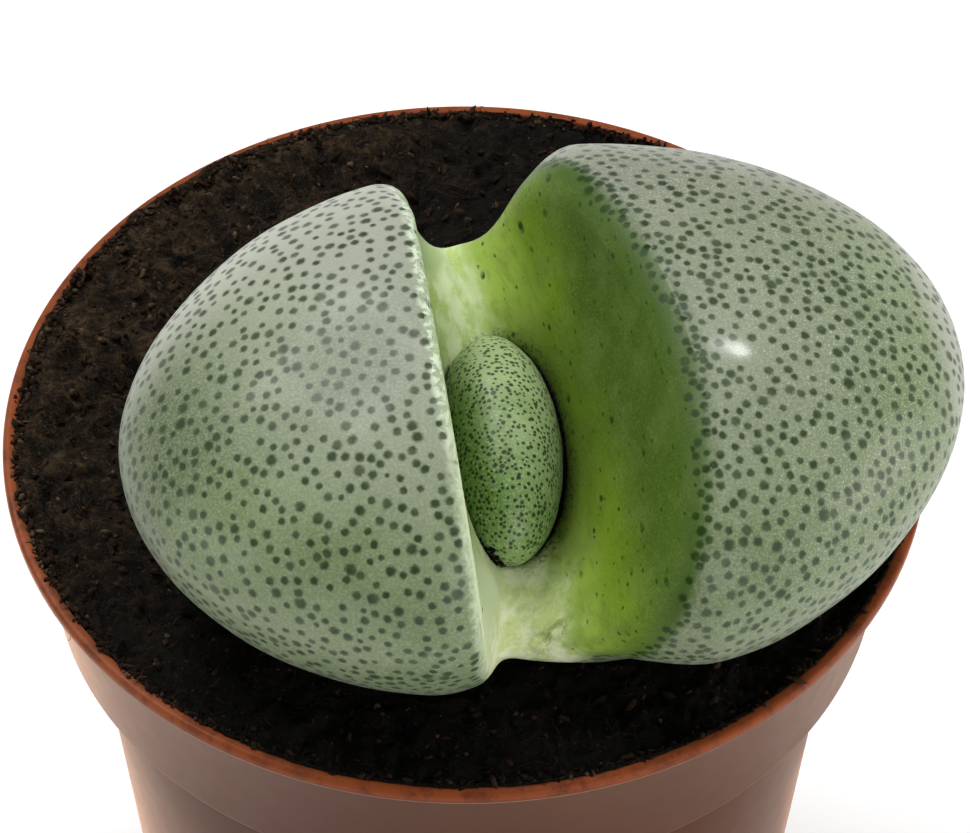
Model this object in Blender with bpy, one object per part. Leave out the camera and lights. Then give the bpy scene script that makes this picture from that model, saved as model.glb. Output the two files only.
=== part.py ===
"""A split rock succulent in a small plastic nursery pot.

Two thick leaves, each an egg cut by its inner face, are fused at the base. A young pair of leaves stands
in the cleft between them, a stem and taproot hold the plant in the soil, and the soil fills the pot.
Lengths are in metres, +Z is up, and the origin is the centre of the pot's underside.
"""

from math import cos, exp, pi, radians, sin, tau

import bmesh
import bpy
from mathutils import Matrix, Vector

MM = 0.001
GAP = 0.3 * MM  # between pieces that touch
FAR = 80 * MM  # beyond everything, for cutters

# The pot: a thin moulded cup with a thin flared lip, a collar and a tapered body.
POT_HEIGHT = 50 * MM
LIP_RADIUS = 27.5 * MM
LIP_DEPTH = 0.9 * MM
LIP_WIDTH = 0.75 * MM
LIP_ROUND = 0.3 * MM
LIP_DRAFT = 0.1 * MM  # the hole narrows by this much over the lip's depth
LIP_FLOOR = 0.2 * MM  # the inside of the lip and of the flare lies this far above the outside
FLARE_DEPTH = 2.4 * MM  # the collar starts to flare out this far below the top
FLARE_STEP = 0.35 * MM
COLLAR_TOP_RADIUS = 25.9 * MM
COLLAR_FOOT_RADIUS = 25.1 * MM
COLLAR_DEPTH = 10.6 * MM
COLLAR_FOOT = POT_HEIGHT - COLLAR_DEPTH
COLLAR_ROUND = 0.4 * MM
BODY_TOP_RADIUS = 23.1 * MM
BODY_SHOULDER = 0.8 * MM  # the body ends this far under the collar's foot
BASE_RADIUS = 19.6 * MM
WALL = 0.6 * MM
BASE_THICKNESS = 0.9 * MM
BASE_EDGE_ROUND = 0.8 * MM
POT_SEGMENTS = 72
DRAIN_HOLES = 6
DRAIN_HOLE_RADIUS = 2.0 * MM
DRAIN_HOLE_CIRCLE = 12.5 * MM
DRAIN_RING = 1.6 * DRAIN_HOLE_RADIUS  # half width of the flat ring that the holes go through
DRAIN_HOLE_TURN = 0.27  # share of a step that the first hole is turned by
DRAIN_SEGMENTS = 20

# The soil: its surface is almost level with the lip, a little lower in the middle, with soft lumps.
SOIL_LEVEL = POT_HEIGHT - 0.5 * MM
SOIL_MOUND = -0.4 * MM
SOIL_LUMP = 0.3 * MM
SOIL_BANK = 0.4 * MM  # the heap at the back left
SOIL_BANK_TURN = radians(125)
SOIL_RADIUS = LIP_RADIUS - LIP_WIDTH - LIP_DRAFT - 0.25 * MM
SOIL_BEVEL = 0.9 * MM  # round the foot of the soil
SOIL_STEP_FOOT = COLLAR_FOOT + 0.6 * MM  # the soil widens over the pot's step, clear of it
SOIL_STEP_TOP = COLLAR_FOOT + 1.7 * MM
SOIL_EDGE = 0.2 * MM  # its side ends this far below its level
SOIL_SEGMENTS = 60
SOIL_RINGS = 12

# The plant's own frame: its origin is the bottom of the cleft, +Y runs along the cleft, +X across it.
PLANT_PLACE = Vector((-0.5, -8.4, 55.05)) * MM
PLANT_TURN = radians(13.8)
PLANT_LEAN = radians(1.0)  # towards -Y

# Each leaf is an egg: half lengths across, along and up, how deep it is below its middle, and how much it
# narrows towards its tip. Its waist narrows it towards the cleft as well, from a start over a run, by one
# share on the far side and another on the near side. Its inner face is tilted to look up.
LEFT_CENTRE = Vector((-2.4, 0.5, 4.8)) * MM
LEFT_SEMI = Vector((16.9, 16.5, 9.6)) * MM
LEFT_DEPTH = 13.8 * MM
LEFT_TAPER = 0.13
LEFT_TIP_RISE = radians(-3.3)
LEFT_WAIST = (2.6 * MM, 6.0 * MM, 0.0, 0.09)
LEFT_FACE_TILT = radians(4.7)
LEFT_FACE_TURN = radians(-5.7)
LEFT_FACE_BACK = 0.15 * MM  # the face lies this far back from the bottom of the cleft
LEFT_FOOT_BULGE = 1.6 * MM
LEFT_FOOT_MIDDLE = 0.5 * MM
LEFT_FOOT_REACH = 3.2 * MM
LEFT_FOOT_NEAR_END = -15.0 * MM  # the bulge grows from nothing here, over the run below
LEFT_FOOT_RUN = 7.0 * MM
RIGHT_CENTRE = Vector((9.8, 0.1, 4.8)) * MM
RIGHT_SEMI = Vector((19.8, 18.1, 9.5)) * MM
RIGHT_DEPTH = 13.4 * MM
RIGHT_TAPER = 0.10
RIGHT_TIP_RISE = radians(1.1)
RIGHT_WAIST = (1.5 * MM, 7.5 * MM, 0.29, 0.13)
RIGHT_FACE_TILT = radians(39.4)
RIGHT_FACE_TURN = radians(5.8)
RIGHT_FACE_BACK = 0.6 * MM
RIGHT_FACE_DISH = 1.5 * MM  # the right inner face is this hollow
RIGHT_FACE_REACH = Vector((9.6, 17.0)) * MM  # from its middle, up the face and along the cleft
RIGHT_FACE_MIDDLE = 4.3 * MM  # up the face from the bottom of the cleft
RIGHT_FACE_TURN_OVER = -0.6  # how far the dish turns over beyond its reach, as a share of its depth
LEAF_SEGMENTS = 52
LEAF_RINGS = 26
FACE_STEP = 1.5 * MM
FACE_REACH = 30 * MM  # of the inner faces, beyond the edges of the leaves

# The fused base that fills the bottom of the cleft, and the plane across it where the two leaves meet.
BASE_CENTRE = Vector((2.2, 0.5, -1.4)) * MM
BASE_SEMI = Vector((6.0, 20.0, 3.4)) * MM
BASE_RISE = radians(12.5)  # higher at the far end
BASE_FAR_END = Vector((0, 14.4, 0)) * MM
SPLIT_ACROSS = 1.6 * MM

# The undercut slope that ends the base and the right leaf at the near end of the cleft.
NOTCH_PLACE = Vector((2.0, -12.75, -1.6)) * MM
NOTCH_TURN = radians(-21)
NOTCH_UNDERCUT = radians(50)

# The young pair: two small leaves, one behind the other along the cleft, the far one the longer.
YOUNG_CENTRE = Vector((2.35, -0.9, 3.1)) * MM
YOUNG_SEMI = Vector((3.55, 7.8, 4.5)) * MM
YOUNG_TURN = radians(-8.0)
YOUNG_SPLIT = -3.9 * MM  # along the pair from its middle
YOUNG_SEGMENTS = 32
YOUNG_RINGS = 16
PIT_SEGMENTS = 40
PIT_RINGS = 20

# The stem and taproot, from inside the fused base down into the soil.
ROOT_TOP = Vector((3.0, 0.0, -6.6)) * MM
ROOT_TOP_RADIUS = 5.0 * MM
ROOT_TIP_RADIUS = 0.6 * MM
ROOT_TAPER_POWER = 1.4  # above 1 the root narrows fastest near its top
ROOT_LENGTH = 24 * MM
ROOT_SEGMENTS = 24
ROOT_RINGS = 12


def clear_scene():
    for obj in list(bpy.data.objects):
        bpy.data.objects.remove(obj, do_unlink=True)


def material(name, colour, roughness):
    made = bpy.data.materials.new(name)
    made.use_nodes = True
    shader = made.node_tree.nodes["Principled BSDF"]
    shader.inputs["Base Color"].default_value = (*colour, 1.0)
    shader.inputs["Roughness"].default_value = roughness
    shader.inputs["Metallic"].default_value = 0.0
    return made


def object_from(name, bm, finish=None, place=None):
    """A mesh object from a bmesh whose faces are turned outwards, placed by a matrix."""
    bmesh.ops.recalc_face_normals(bm, faces=bm.faces)
    mesh = bpy.data.meshes.new(name)
    bm.to_mesh(mesh)
    bm.free()
    mesh.shade_smooth()
    mesh.set_sharp_from_angle(angle=radians(40))
    obj = bpy.data.objects.new(name, mesh)
    bpy.context.scene.collection.objects.link(obj)
    if finish:
        mesh.materials.append(finish)
    if place:
        obj.matrix_world = place
    return obj


def cutter(name, bm, place):
    obj = object_from(name, bm, place=place)
    obj.hide_render = True
    obj.display_type = "WIRE"
    return obj


def boolean(obj, other, operation):
    modifier = obj.modifiers.new(f"{operation.lower()} {other.name}", "BOOLEAN")
    modifier.operation = operation
    modifier.object = other


def turned(profile, segments):
    """A closed solid turned about Z from (radius, height) points; the two end ones lie on the axis."""
    bm = bmesh.new()
    rings = []
    for radius, height in profile:
        if radius == 0:
            rings.append([bm.verts.new((0, 0, height))])
            continue
        angles = [tau * i / segments for i in range(segments)]
        rings.append([bm.verts.new((radius * cos(a), radius * sin(a), height)) for a in angles])
    join_rings(bm, rings, segments)
    return bm


def join_rings(bm, rings, segments):
    """Faces between neighbouring rings; a ring of one vertex is a pole."""
    for lower, upper in zip(rings, rings[1:]):
        for i in range(segments):
            j = (i + 1) % segments
            if len(lower) == 1:
                bm.faces.new((lower[0], upper[i], upper[j]))
            elif len(upper) == 1:
                bm.faces.new((lower[i], lower[j], upper[0]))
            else:
                bm.faces.new((lower[i], lower[j], upper[j], upper[i]))


def ease(share):
    """0 below 0 and 1 above 1, with a smooth step between."""
    share = min(1.0, max(0.0, share))
    return share * share * (3 - 2 * share)


def egg(semi, depth=None, taper=0.0, tip=1, waist=None, segments=LEAF_SEGMENTS, rings=LEAF_RINGS):
    """An egg about the origin, with its long axis on X. depth is its half height below, where that differs
    from above, tip is the side, +1 or -1, that it narrows towards, and the waist is on the other side."""
    bm = bmesh.new()
    made = []
    below = semi.z if depth is None else depth
    start, run, far, near = waist or (0, 1, 0, 0)
    for k in range(rings + 1):
        along = -cos(pi * k / rings)
        if k in (0, rings):
            made.append([bm.verts.new((semi.x * along, 0, 0))])
            continue
        width = sin(pi * k / rings) * (1 - taper * along * tip)
        narrowing = ease((start - tip * semi.x * along) / run)
        ring = []
        for i in range(segments):
            a = tau * i / segments
            height = semi.z if sin(a) > 0 else below
            side = semi.y * (1 - narrowing * (far if cos(a) > 0 else near))
            ring.append(bm.verts.new((semi.x * along, side * width * cos(a), height * width * sin(a))))
        made.append(ring)
    join_rings(bm, made, segments)
    return bm


def block(low, high):
    bm = bmesh.new()
    size = Vector(high) - Vector(low)
    middle = (Vector(high) + Vector(low)) / 2
    bmesh.ops.create_cube(bm, size=1.0, matrix=Matrix.Translation(middle) @ Matrix.Diagonal((*size, 1)))
    return bm


def trim(bm, place, way):
    """Cuts off all of a closed bmesh that lies beyond a plane in the way given, and closes the cut."""
    geometry = bm.verts[:] + bm.edges[:] + bm.faces[:]
    cut = bmesh.ops.bisect_plane(bm, geom=geometry, plane_co=place, plane_no=way, clear_outer=True)
    edges = [item for item in cut["geom_cut"] if isinstance(item, bmesh.types.BMEdge)]
    bmesh.ops.holes_fill(bm, edges=edges)


def plant_frame():
    turn = Matrix.Rotation(PLANT_TURN, 4, "Z") @ Matrix.Rotation(PLANT_LEAN, 4, "X")
    return Matrix.Translation(PLANT_PLACE) @ turn


def pot_outline():
    """The pot's section: from the middle of the underside up the outside, then down the inside."""
    top = POT_HEIGHT
    outside = [
        (0, 0),
        (DRAIN_HOLE_CIRCLE - DRAIN_RING, 0),
        (DRAIN_HOLE_CIRCLE + DRAIN_RING, 0),
        (BASE_RADIUS - BASE_EDGE_ROUND, 0),
        (BASE_RADIUS - 0.3 * BASE_EDGE_ROUND, 0.3 * BASE_EDGE_ROUND),
        (BASE_RADIUS, BASE_EDGE_ROUND),
        (BODY_TOP_RADIUS, COLLAR_FOOT - BODY_SHOULDER),
        (BODY_TOP_RADIUS + 0.3 * BODY_SHOULDER, COLLAR_FOOT - 0.3 * BODY_SHOULDER),
        (COLLAR_FOOT_RADIUS - COLLAR_ROUND, COLLAR_FOOT),
        (COLLAR_FOOT_RADIUS, COLLAR_FOOT + COLLAR_ROUND),
        (COLLAR_TOP_RADIUS, top - FLARE_DEPTH),
        (COLLAR_TOP_RADIUS + FLARE_STEP, (2 * top - FLARE_DEPTH - LIP_DEPTH) / 2),
        (LIP_RADIUS - LIP_ROUND, top - LIP_DEPTH),
        (LIP_RADIUS, top - LIP_DEPTH + LIP_ROUND),
        (LIP_RADIUS, top - LIP_ROUND),
        (LIP_RADIUS - LIP_ROUND, top),
    ]
    inside = [
        (LIP_RADIUS - LIP_WIDTH, top),
        (LIP_RADIUS - LIP_WIDTH - LIP_DRAFT, top - LIP_DEPTH + LIP_FLOOR),
        (COLLAR_TOP_RADIUS - WALL, top - FLARE_DEPTH + LIP_FLOOR),
        (COLLAR_FOOT_RADIUS - WALL, COLLAR_FOOT + 2 * WALL),
        (BODY_TOP_RADIUS - WALL, COLLAR_FOOT + COLLAR_ROUND),
        (BASE_RADIUS - WALL, BASE_THICKNESS + BASE_EDGE_ROUND),
        (BASE_RADIUS - WALL - BASE_EDGE_ROUND, BASE_THICKNESS),
        (DRAIN_HOLE_CIRCLE + DRAIN_RING, BASE_THICKNESS),
        (DRAIN_HOLE_CIRCLE - DRAIN_RING, BASE_THICKNESS),
        (0, BASE_THICKNESS),
    ]
    return outside + inside


def make_pot(finish):
    pot = object_from("pot", turned(pot_outline(), POT_SEGMENTS), finish)
    for i in range(DRAIN_HOLES):
        angle = tau * (i + DRAIN_HOLE_TURN) / DRAIN_HOLES
        bm = bmesh.new()
        bmesh.ops.create_cone(
            bm,
            cap_ends=True,
            segments=DRAIN_SEGMENTS,
            radius1=DRAIN_HOLE_RADIUS,
            radius2=DRAIN_HOLE_RADIUS,
            depth=6 * BASE_THICKNESS,
        )
        spot = (DRAIN_HOLE_CIRCLE * cos(angle), DRAIN_HOLE_CIRCLE * sin(angle), BASE_THICKNESS / 2)
        boolean(pot, cutter(f"drain_{i}", bm, Matrix.Translation(spot)), "DIFFERENCE")
    return pot


def soil_height(radius, angle):
    """The soil's surface: almost level, with soft lumps, and a little higher at the back left."""
    reach = radius / LIP_RADIUS
    lumps = sin(3 * angle + 7 * reach) + 0.6 * sin(5 * angle - 9 * reach + 1.3)
    bank = SOIL_BANK * reach**2 * max(0.0, cos(angle - SOIL_BANK_TURN))
    return SOIL_LEVEL + SOIL_MOUND * (1 - reach**2) + SOIL_LUMP * lumps * reach * (1 - reach) + bank


def make_soil(finish):
    clear = WALL + GAP
    floor = BASE_THICKNESS + GAP
    wall = [
        (BASE_RADIUS - clear - SOIL_BEVEL, floor),
        (BASE_RADIUS - clear - LIP_DRAFT, floor + SOIL_BEVEL),
        (BODY_TOP_RADIUS - clear, SOIL_STEP_FOOT),
        (COLLAR_FOOT_RADIUS - clear, SOIL_STEP_TOP),
        (COLLAR_TOP_RADIUS - clear, POT_HEIGHT - FLARE_DEPTH),
        (SOIL_RADIUS - LIP_DRAFT, POT_HEIGHT - LIP_DEPTH),
        (SOIL_RADIUS, SOIL_LEVEL - SOIL_EDGE),
    ]
    bm = bmesh.new()
    angles = [tau * i / SOIL_SEGMENTS for i in range(SOIL_SEGMENTS)]
    rings = [[bm.verts.new((0, 0, floor))]]
    for radius, height in wall:
        rings.append([bm.verts.new((radius * cos(a), radius * sin(a), height)) for a in angles])
    for k in range(SOIL_RINGS):
        radius = SOIL_RADIUS * (1 - k / SOIL_RINGS)
        rings.append(
            [bm.verts.new((radius * cos(a), radius * sin(a), soil_height(radius, a))) for a in angles]
        )
    rings.append([bm.verts.new((0, 0, soil_height(0, 0)))])
    join_rings(bm, rings, SOIL_SEGMENTS)
    soil = object_from("soil", bm, finish)
    for side in (-1, 1):
        shape, place = leaf_egg(side, GAP)
        boolean(soil, cutter(f"leaf_socket_{side}", shape, place), "DIFFERENCE")
    boolean(soil, cutter("root_socket", root_shape(GAP), root_place()), "DIFFERENCE")
    return soil


def leaf_egg(side, grown=0.0):
    """The whole egg of the left (-1) or right (+1) leaf, grown by a gap, and its place."""
    if side < 0:
        centre, semi, depth, waist = LEFT_CENTRE, LEFT_SEMI, LEFT_DEPTH, LEFT_WAIST
        taper, rise = LEFT_TAPER, LEFT_TIP_RISE
    else:
        centre, semi, depth, waist = RIGHT_CENTRE, RIGHT_SEMI, RIGHT_DEPTH, RIGHT_WAIST
        taper, rise = RIGHT_TAPER, RIGHT_TIP_RISE
    around = Vector([half + grown for half in semi])
    place = plant_frame() @ Matrix.Translation(centre) @ Matrix.Rotation(-rise * side, 4, "Y")
    return egg(around, depth + grown, taper, side, waist), place


def notch_frame():
    """The frame, in the plant's, whose -Y side is what the undercut slope takes away."""
    turn = Matrix.Rotation(NOTCH_TURN, 4, "Z") @ Matrix.Rotation(NOTCH_UNDERCUT, 4, "X")
    return Matrix.Translation(NOTCH_PLACE) @ turn


def fused_base():
    """The saddle between the leaves: a long low egg, ended at the far side and by the near undercut."""
    shape = egg(BASE_SEMI)
    place = Matrix.Translation(BASE_CENTRE) @ Matrix.Rotation(BASE_RISE, 4, "X")
    inward = place.inverted()
    notch = notch_frame()
    trim(shape, inward @ BASE_FAR_END, inward.to_3x3() @ Vector((0, 1, 0)))
    trim(shape, inward @ notch.to_translation(), inward.to_3x3() @ notch.to_3x3() @ Vector((0, -1, 0)))
    return shape, plant_frame() @ place


def left_front(along, up):
    """How far out of its plane the left inner face stands: it swells towards its foot."""
    swell = LEFT_FOOT_BULGE * exp(-(((up - LEFT_FOOT_MIDDLE) / LEFT_FOOT_REACH) ** 2))
    return swell * ease((along - LEFT_FOOT_NEAR_END) / LEFT_FOOT_RUN) - LEFT_FACE_BACK


def right_front(along, up):
    """How far into the leaf the right inner face goes: a broad shallow dish."""
    share = ((up - RIGHT_FACE_MIDDLE) / RIGHT_FACE_REACH.x) ** 2 + (along / RIGHT_FACE_REACH.y) ** 2
    return RIGHT_FACE_DISH * max(1 - share, RIGHT_FACE_TURN_OVER) + RIGHT_FACE_BACK


def cleft_cutter(side):
    """What the inner face cuts away: a thick slab whose one side is the face's own surface."""
    if side < 0:
        front, tilt, turning = left_front, -LEFT_FACE_TILT, LEFT_FACE_TURN
    else:
        front, tilt, turning = right_front, RIGHT_FACE_TILT, RIGHT_FACE_TURN
    steps = int(FACE_REACH / FACE_STEP)
    line = [k * FACE_STEP for k in range(-steps, steps + 1)]
    bm = bmesh.new()
    face = [[bm.verts.new((front(y, z), y, z)) for y in line] for z in line]
    back = [[bm.verts.new((-side * FAR, y, z)) for y in (line[0], line[-1])] for z in (line[0], line[-1])]
    for low, high in zip(face, face[1:]):
        for k in range(len(line) - 1):
            bm.faces.new((low[k], low[k + 1], high[k + 1], high[k]))
    bm.faces.new((back[0][0], back[0][1], back[1][1], back[1][0]))
    bm.faces.new([*face[0], back[0][1], back[0][0]])
    bm.faces.new([*face[-1], back[1][1], back[1][0]])
    bm.faces.new([*(row[0] for row in face), back[1][0], back[0][0]])
    bm.faces.new([*(row[-1] for row in face), back[1][1], back[0][1]])
    turn = Matrix.Rotation(turning, 4, "Z") @ Matrix.Rotation(tilt, 4, "Y")
    return bm, plant_frame() @ turn


def leaf(name, finish, side):
    """One thick leaf: its egg, less the cleft, the other leaf's half of the base, the pit and the root."""
    shape, place = leaf_egg(side)
    made = object_from(name, shape, finish, place)
    boolean(made, cutter(f"{name}_cleft", *cleft_cutter(side)), "DIFFERENCE")
    if side > 0:
        notch = block((-FAR, -FAR, -FAR), (FAR, 0, FAR))
        boolean(made, cutter(f"{name}_notch", notch, plant_frame() @ notch_frame()), "DIFFERENCE")
    boolean(made, cutter(f"{name}_base", *fused_base()), "UNION")
    edge = SPLIT_ACROSS + side * GAP / 2
    low, high = (edge, FAR) if side < 0 else (-FAR, edge)
    split = block((low, -FAR, -FAR), (high, FAR, FAR))
    boolean(made, cutter(f"{name}_split", split, plant_frame()), "DIFFERENCE")
    grown = Vector([half + GAP for half in YOUNG_SEMI])
    pit = egg(grown, segments=PIT_SEGMENTS, rings=PIT_RINGS)
    boolean(made, cutter(f"{name}_pit", pit, young_place()), "DIFFERENCE")
    boolean(made, cutter(f"{name}_root", root_shape(GAP), root_place()), "DIFFERENCE")
    return made


def young_place():
    return plant_frame() @ Matrix.Translation(YOUNG_CENTRE) @ Matrix.Rotation(YOUNG_TURN, 4, "Z")


def young_leaf(name, finish, side):
    """The far (+1) or the near (-1) leaf of the young pair, cut off at the fissure between them."""
    shape = egg(YOUNG_SEMI, segments=YOUNG_SEGMENTS, rings=YOUNG_RINGS)
    trim(shape, (0, YOUNG_SPLIT + side * GAP / 2, 0), (0, -side, 0))
    return object_from(name, shape, finish, young_place())


def root_shape(grown=0.0):
    profile = [(0, grown)]
    for k in range(ROOT_RINGS + 1):
        share = k / ROOT_RINGS
        radius = ROOT_TIP_RADIUS + (ROOT_TOP_RADIUS - ROOT_TIP_RADIUS) * (1 - share) ** ROOT_TAPER_POWER
        profile.append((radius + grown, grown - share * (ROOT_LENGTH + 2 * grown)))
    profile.append((0, -ROOT_LENGTH - grown))
    return turned(profile[::-1], ROOT_SEGMENTS)


def root_place():
    return Matrix.Translation(plant_frame() @ ROOT_TOP)


def main():
    clear_scene()
    plastic = material("terracotta_plastic", (0.24, 0.085, 0.045), 0.35)
    peat = material("peat", (0.02, 0.014, 0.01), 0.95)
    rind = material("leaf_rind", (0.33, 0.42, 0.29), 0.5)
    young = material("young_leaf", (0.2, 0.33, 0.12), 0.5)
    root = material("root", (0.25, 0.17, 0.1), 0.85)
    make_pot(plastic)
    make_soil(peat)
    leaf("leaf_left", rind, -1)
    leaf("leaf_right", rind, 1)
    young_leaf("young_leaf_far", young, 1)
    young_leaf("young_leaf_near", young, -1)
    object_from("taproot", root_shape(), root, root_place())


main()
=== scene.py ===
from math import cos, pi, radians, sin, tau

import bmesh
import bpy
import numpy as np
from mathutils import Euler, Matrix, Vector
from mathutils.kdtree import KDTree


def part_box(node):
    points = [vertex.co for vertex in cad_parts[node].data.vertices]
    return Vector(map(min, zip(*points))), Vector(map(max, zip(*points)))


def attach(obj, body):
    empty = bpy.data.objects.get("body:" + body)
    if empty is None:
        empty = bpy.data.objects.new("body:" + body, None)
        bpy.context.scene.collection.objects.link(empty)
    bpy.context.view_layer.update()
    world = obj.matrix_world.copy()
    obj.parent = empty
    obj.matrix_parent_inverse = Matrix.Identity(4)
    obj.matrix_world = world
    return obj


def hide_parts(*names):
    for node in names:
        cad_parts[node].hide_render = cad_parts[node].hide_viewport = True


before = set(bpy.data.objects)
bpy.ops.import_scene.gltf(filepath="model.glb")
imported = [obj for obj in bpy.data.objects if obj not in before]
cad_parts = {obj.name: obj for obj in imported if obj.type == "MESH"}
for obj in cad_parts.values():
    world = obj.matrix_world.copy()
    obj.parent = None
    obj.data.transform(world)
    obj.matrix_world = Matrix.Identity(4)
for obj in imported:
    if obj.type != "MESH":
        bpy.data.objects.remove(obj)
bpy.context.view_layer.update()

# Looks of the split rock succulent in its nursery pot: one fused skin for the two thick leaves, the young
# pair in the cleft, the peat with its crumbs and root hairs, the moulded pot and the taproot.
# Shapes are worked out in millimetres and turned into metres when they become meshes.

MM = 0.001

# The pot, read from the frame.
POT_HIGH = np.array(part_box("pot")[1]) / MM
POT_HEIGHT = float(POT_HIGH[2])
LIP_RADIUS = float(POT_HIGH[0])
LIP_DEPTH = 0.9
LIP_WIDTH = 0.75
COLLAR_TOP_RADIUS = LIP_RADIUS - 1.6
COLLAR_FOOT_RADIUS = LIP_RADIUS - 2.4
COLLAR_DEPTH = 10.6
BODY_TOP_RADIUS = LIP_RADIUS - 4.4
BASE_RADIUS = LIP_RADIUS - 7.9
LIP_ROUND = 0.3
BASE_ROUND = 0.8
WALL = 0.6
BASE_THICKNESS = 0.9
DRAIN_HOLES = 6
DRAIN_HOLE_RADIUS = 2.0
DRAIN_HOLE_CIRCLE = 12.5
DRAIN_HOLE_TURN = 0.27  # share of a step that the first hole is turned by
DRAIN_HOLE_SEGMENTS = 36
HOLLOW_DEPTH = 0.5  # the underside's middle is raised, out to the ring that the pot stands on
HOLLOW_RADIUS = 8.0
STAND_RING = (9.0, 16.0)
POT_SEGMENTS = 288
POT_SHARP = radians(38)  # edges that turn by more are drawn sharp

# The plant's own frame: its origin is the bottom of the cleft, +Y runs along the cleft, +X across it.
PLANT_PLACE = np.array((-0.5, -8.4, POT_HEIGHT + 5.05))
PLANT_TURN = radians(13.8)
PLANT_LEAN = radians(1.0)


def turn_x(angle):
    return np.array(((1, 0, 0), (0, cos(angle), -sin(angle)), (0, sin(angle), cos(angle))))


def turn_y(angle):
    return np.array(((cos(angle), 0, sin(angle)), (0, 1, 0), (-sin(angle), 0, cos(angle))))


def turn_z(angle):
    return np.array(((cos(angle), -sin(angle), 0), (sin(angle), cos(angle), 0), (0, 0, 1)))


PLANT_AXES = turn_z(PLANT_TURN) @ turn_x(PLANT_LEAN)


def to_world(points):
    return points @ PLANT_AXES.T + PLANT_PLACE


def to_plant(points):
    return (points - PLANT_PLACE) @ PLANT_AXES


# ---- fields


def blend_min(a, b, reach):
    """The smaller of two fields, rounded where they meet over this reach."""
    share = np.maximum(reach - np.abs(a - b), 0) / reach
    return np.minimum(a, b) - share**2 * reach / 4


def blend_max(a, b, reach):
    return -blend_min(-a, -b, reach)


def lattice(cells, seed):
    """A value from 0 to 1 for each whole-numbered cell, the same on each run."""
    keys = cells.astype(np.int64).astype(np.uint64)
    mixed = keys[..., 0] * np.uint64(73856093)
    mixed ^= keys[..., 1] * np.uint64(19349663)
    if keys.shape[-1] > 2:
        mixed ^= keys[..., 2] * np.uint64(83492791)
    mixed += np.uint64(seed * 2654435761)
    mixed ^= mixed >> np.uint64(13)
    mixed *= np.uint64(1274126177)
    mixed ^= mixed >> np.uint64(16)
    return (mixed & np.uint64(0xFFFFFF)).astype(float) / 0xFFFFFF


def noise(points, size, seed):
    """Smooth value noise from -1 to 1 with features of this size, in two or three dimensions."""
    scaled = points / size
    low = np.floor(scaled)
    part = scaled - low
    part = part * part * (3 - 2 * part)
    total = 0
    axes = points.shape[-1]
    for corner in range(2**axes):
        step = np.array([(corner >> axis) & 1 for axis in range(axes)])
        weight = np.prod(np.where(step, part, 1 - part), axis=-1)
        total = total + weight * lattice(low + step, seed)
    return 2 * total - 1


def granules(points, size, seed):
    """Heights of rounded grains: highest at the middle of a large grain, and 0 between grains."""
    scaled = points / size
    low = np.floor(scaled)
    best = np.zeros(len(points))
    for dx in (-1, 0, 1):
        for dy in (-1, 0, 1):
            cell = low + np.array((dx, dy))
            centre = cell + 0.5 + 0.42 * np.stack(
                [2 * lattice(cell, seed) - 1, 2 * lattice(cell, seed + 1) - 1], axis=-1
            )
            radius = 0.35 + 0.55 * lattice(cell, seed + 2)
            lift = 1 - ((scaled - centre) ** 2).sum(axis=-1) / radius**2
            best = np.maximum(best, radius * np.sqrt(np.maximum(lift, 0)))
    return best


def ease(values):
    """0 below 0 and 1 above 1, with a smooth step between."""
    share = np.clip(values, 0, 1)
    return share * share * (3 - 2 * share)


def lengths(vectors):
    return np.linalg.norm(vectors, axis=-1)


def egg_field(points, centre, semi, depth, taper, rise, side, waist=None):
    """Roughly the distance outside an egg whose tip points to side and whose lower half has its own depth.
    A waist (start, run, far, near) narrows the far and the near half towards the cleft by those shares."""
    local = (points - np.array(centre)) @ turn_y(-rise * side)
    share = np.clip(local[:, 0] / semi[0], -1.4, 1.4)
    taken = 1 - taper * share * side
    height = np.where(local[:, 2] > 0, semi[2], depth) * taken
    width = semi[1] * taken
    if waist:
        start, run, far, near = waist
        width = width * (1 - np.where(local[:, 1] > 0, far, near) * ease((start - side * local[:, 0]) / run))
    radii = np.stack([np.full(len(points), semi[0]), width, height], axis=-1)
    scale = lengths(local / radii)
    return scale * (scale - 1) / np.maximum(lengths(local / radii**2), 1e-9)


LEFT_WAIST = (2.6, 6.0, 0.0, 0.09)
LEFT_EGG = ((-2.4, 0.5, 4.8), (16.9, 16.5, 9.6), 13.8, 0.13, radians(-3.3), -1, LEFT_WAIST)
RIGHT_WAIST = (1.5, 7.5, 0.29, 0.13)
RIGHT_EGG = ((9.8, 0.1, 4.8), (19.8, 18.1, 9.5), 13.4, 0.10, radians(1.1), 1, RIGHT_WAIST)
LEFT_FACE = turn_z(radians(-5.7)) @ turn_y(radians(-4.7))
LEFT_FACE_BACK = 0.15
RIGHT_FACE = turn_z(radians(5.8)) @ turn_y(radians(39.4))
RIGHT_FACE_DISH = 1.5
RIGHT_FACE_TURN_OVER = -0.6  # the lowest its edge turns over, as a share of the dish
RIGHT_FACE_BACK = 0.6
RIGHT_FACE_REACH = (9.6, 17.0)
RIGHT_FACE_MIDDLE = 4.3
LEFT_FOOT_BULGE = 1.6
LEFT_FOOT_MIDDLE = 0.5
LEFT_FOOT_REACH = 3.2
LEFT_FOOT_NEAR_END = -15
LEFT_FOOT_RUN = 7  # the bulge grows from nothing at its near end over this run
BASE_EGG = ((2.2, 0.5, -1.4), (6.0, 20.0, 3.4), 3.4, 0.0, 0.0, 1)
BASE_RISE = radians(12.5)
BASE_FAR_END = 14.4
BASE_END_ROUND = 2.4
NEAR_NOTCH_PLACE = np.array((2.0, -12.75, -1.6))
NEAR_NOTCH_WAY = turn_z(radians(-21)) @ turn_x(radians(50)) @ np.array((0, -1, 0))
YOUNG_CENTRE = np.array((2.35, -0.9, 3.1))
YOUNG_SEMI = np.array((3.55, 7.8, 4.5))
YOUNG_TURN = radians(-8.0)
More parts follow.
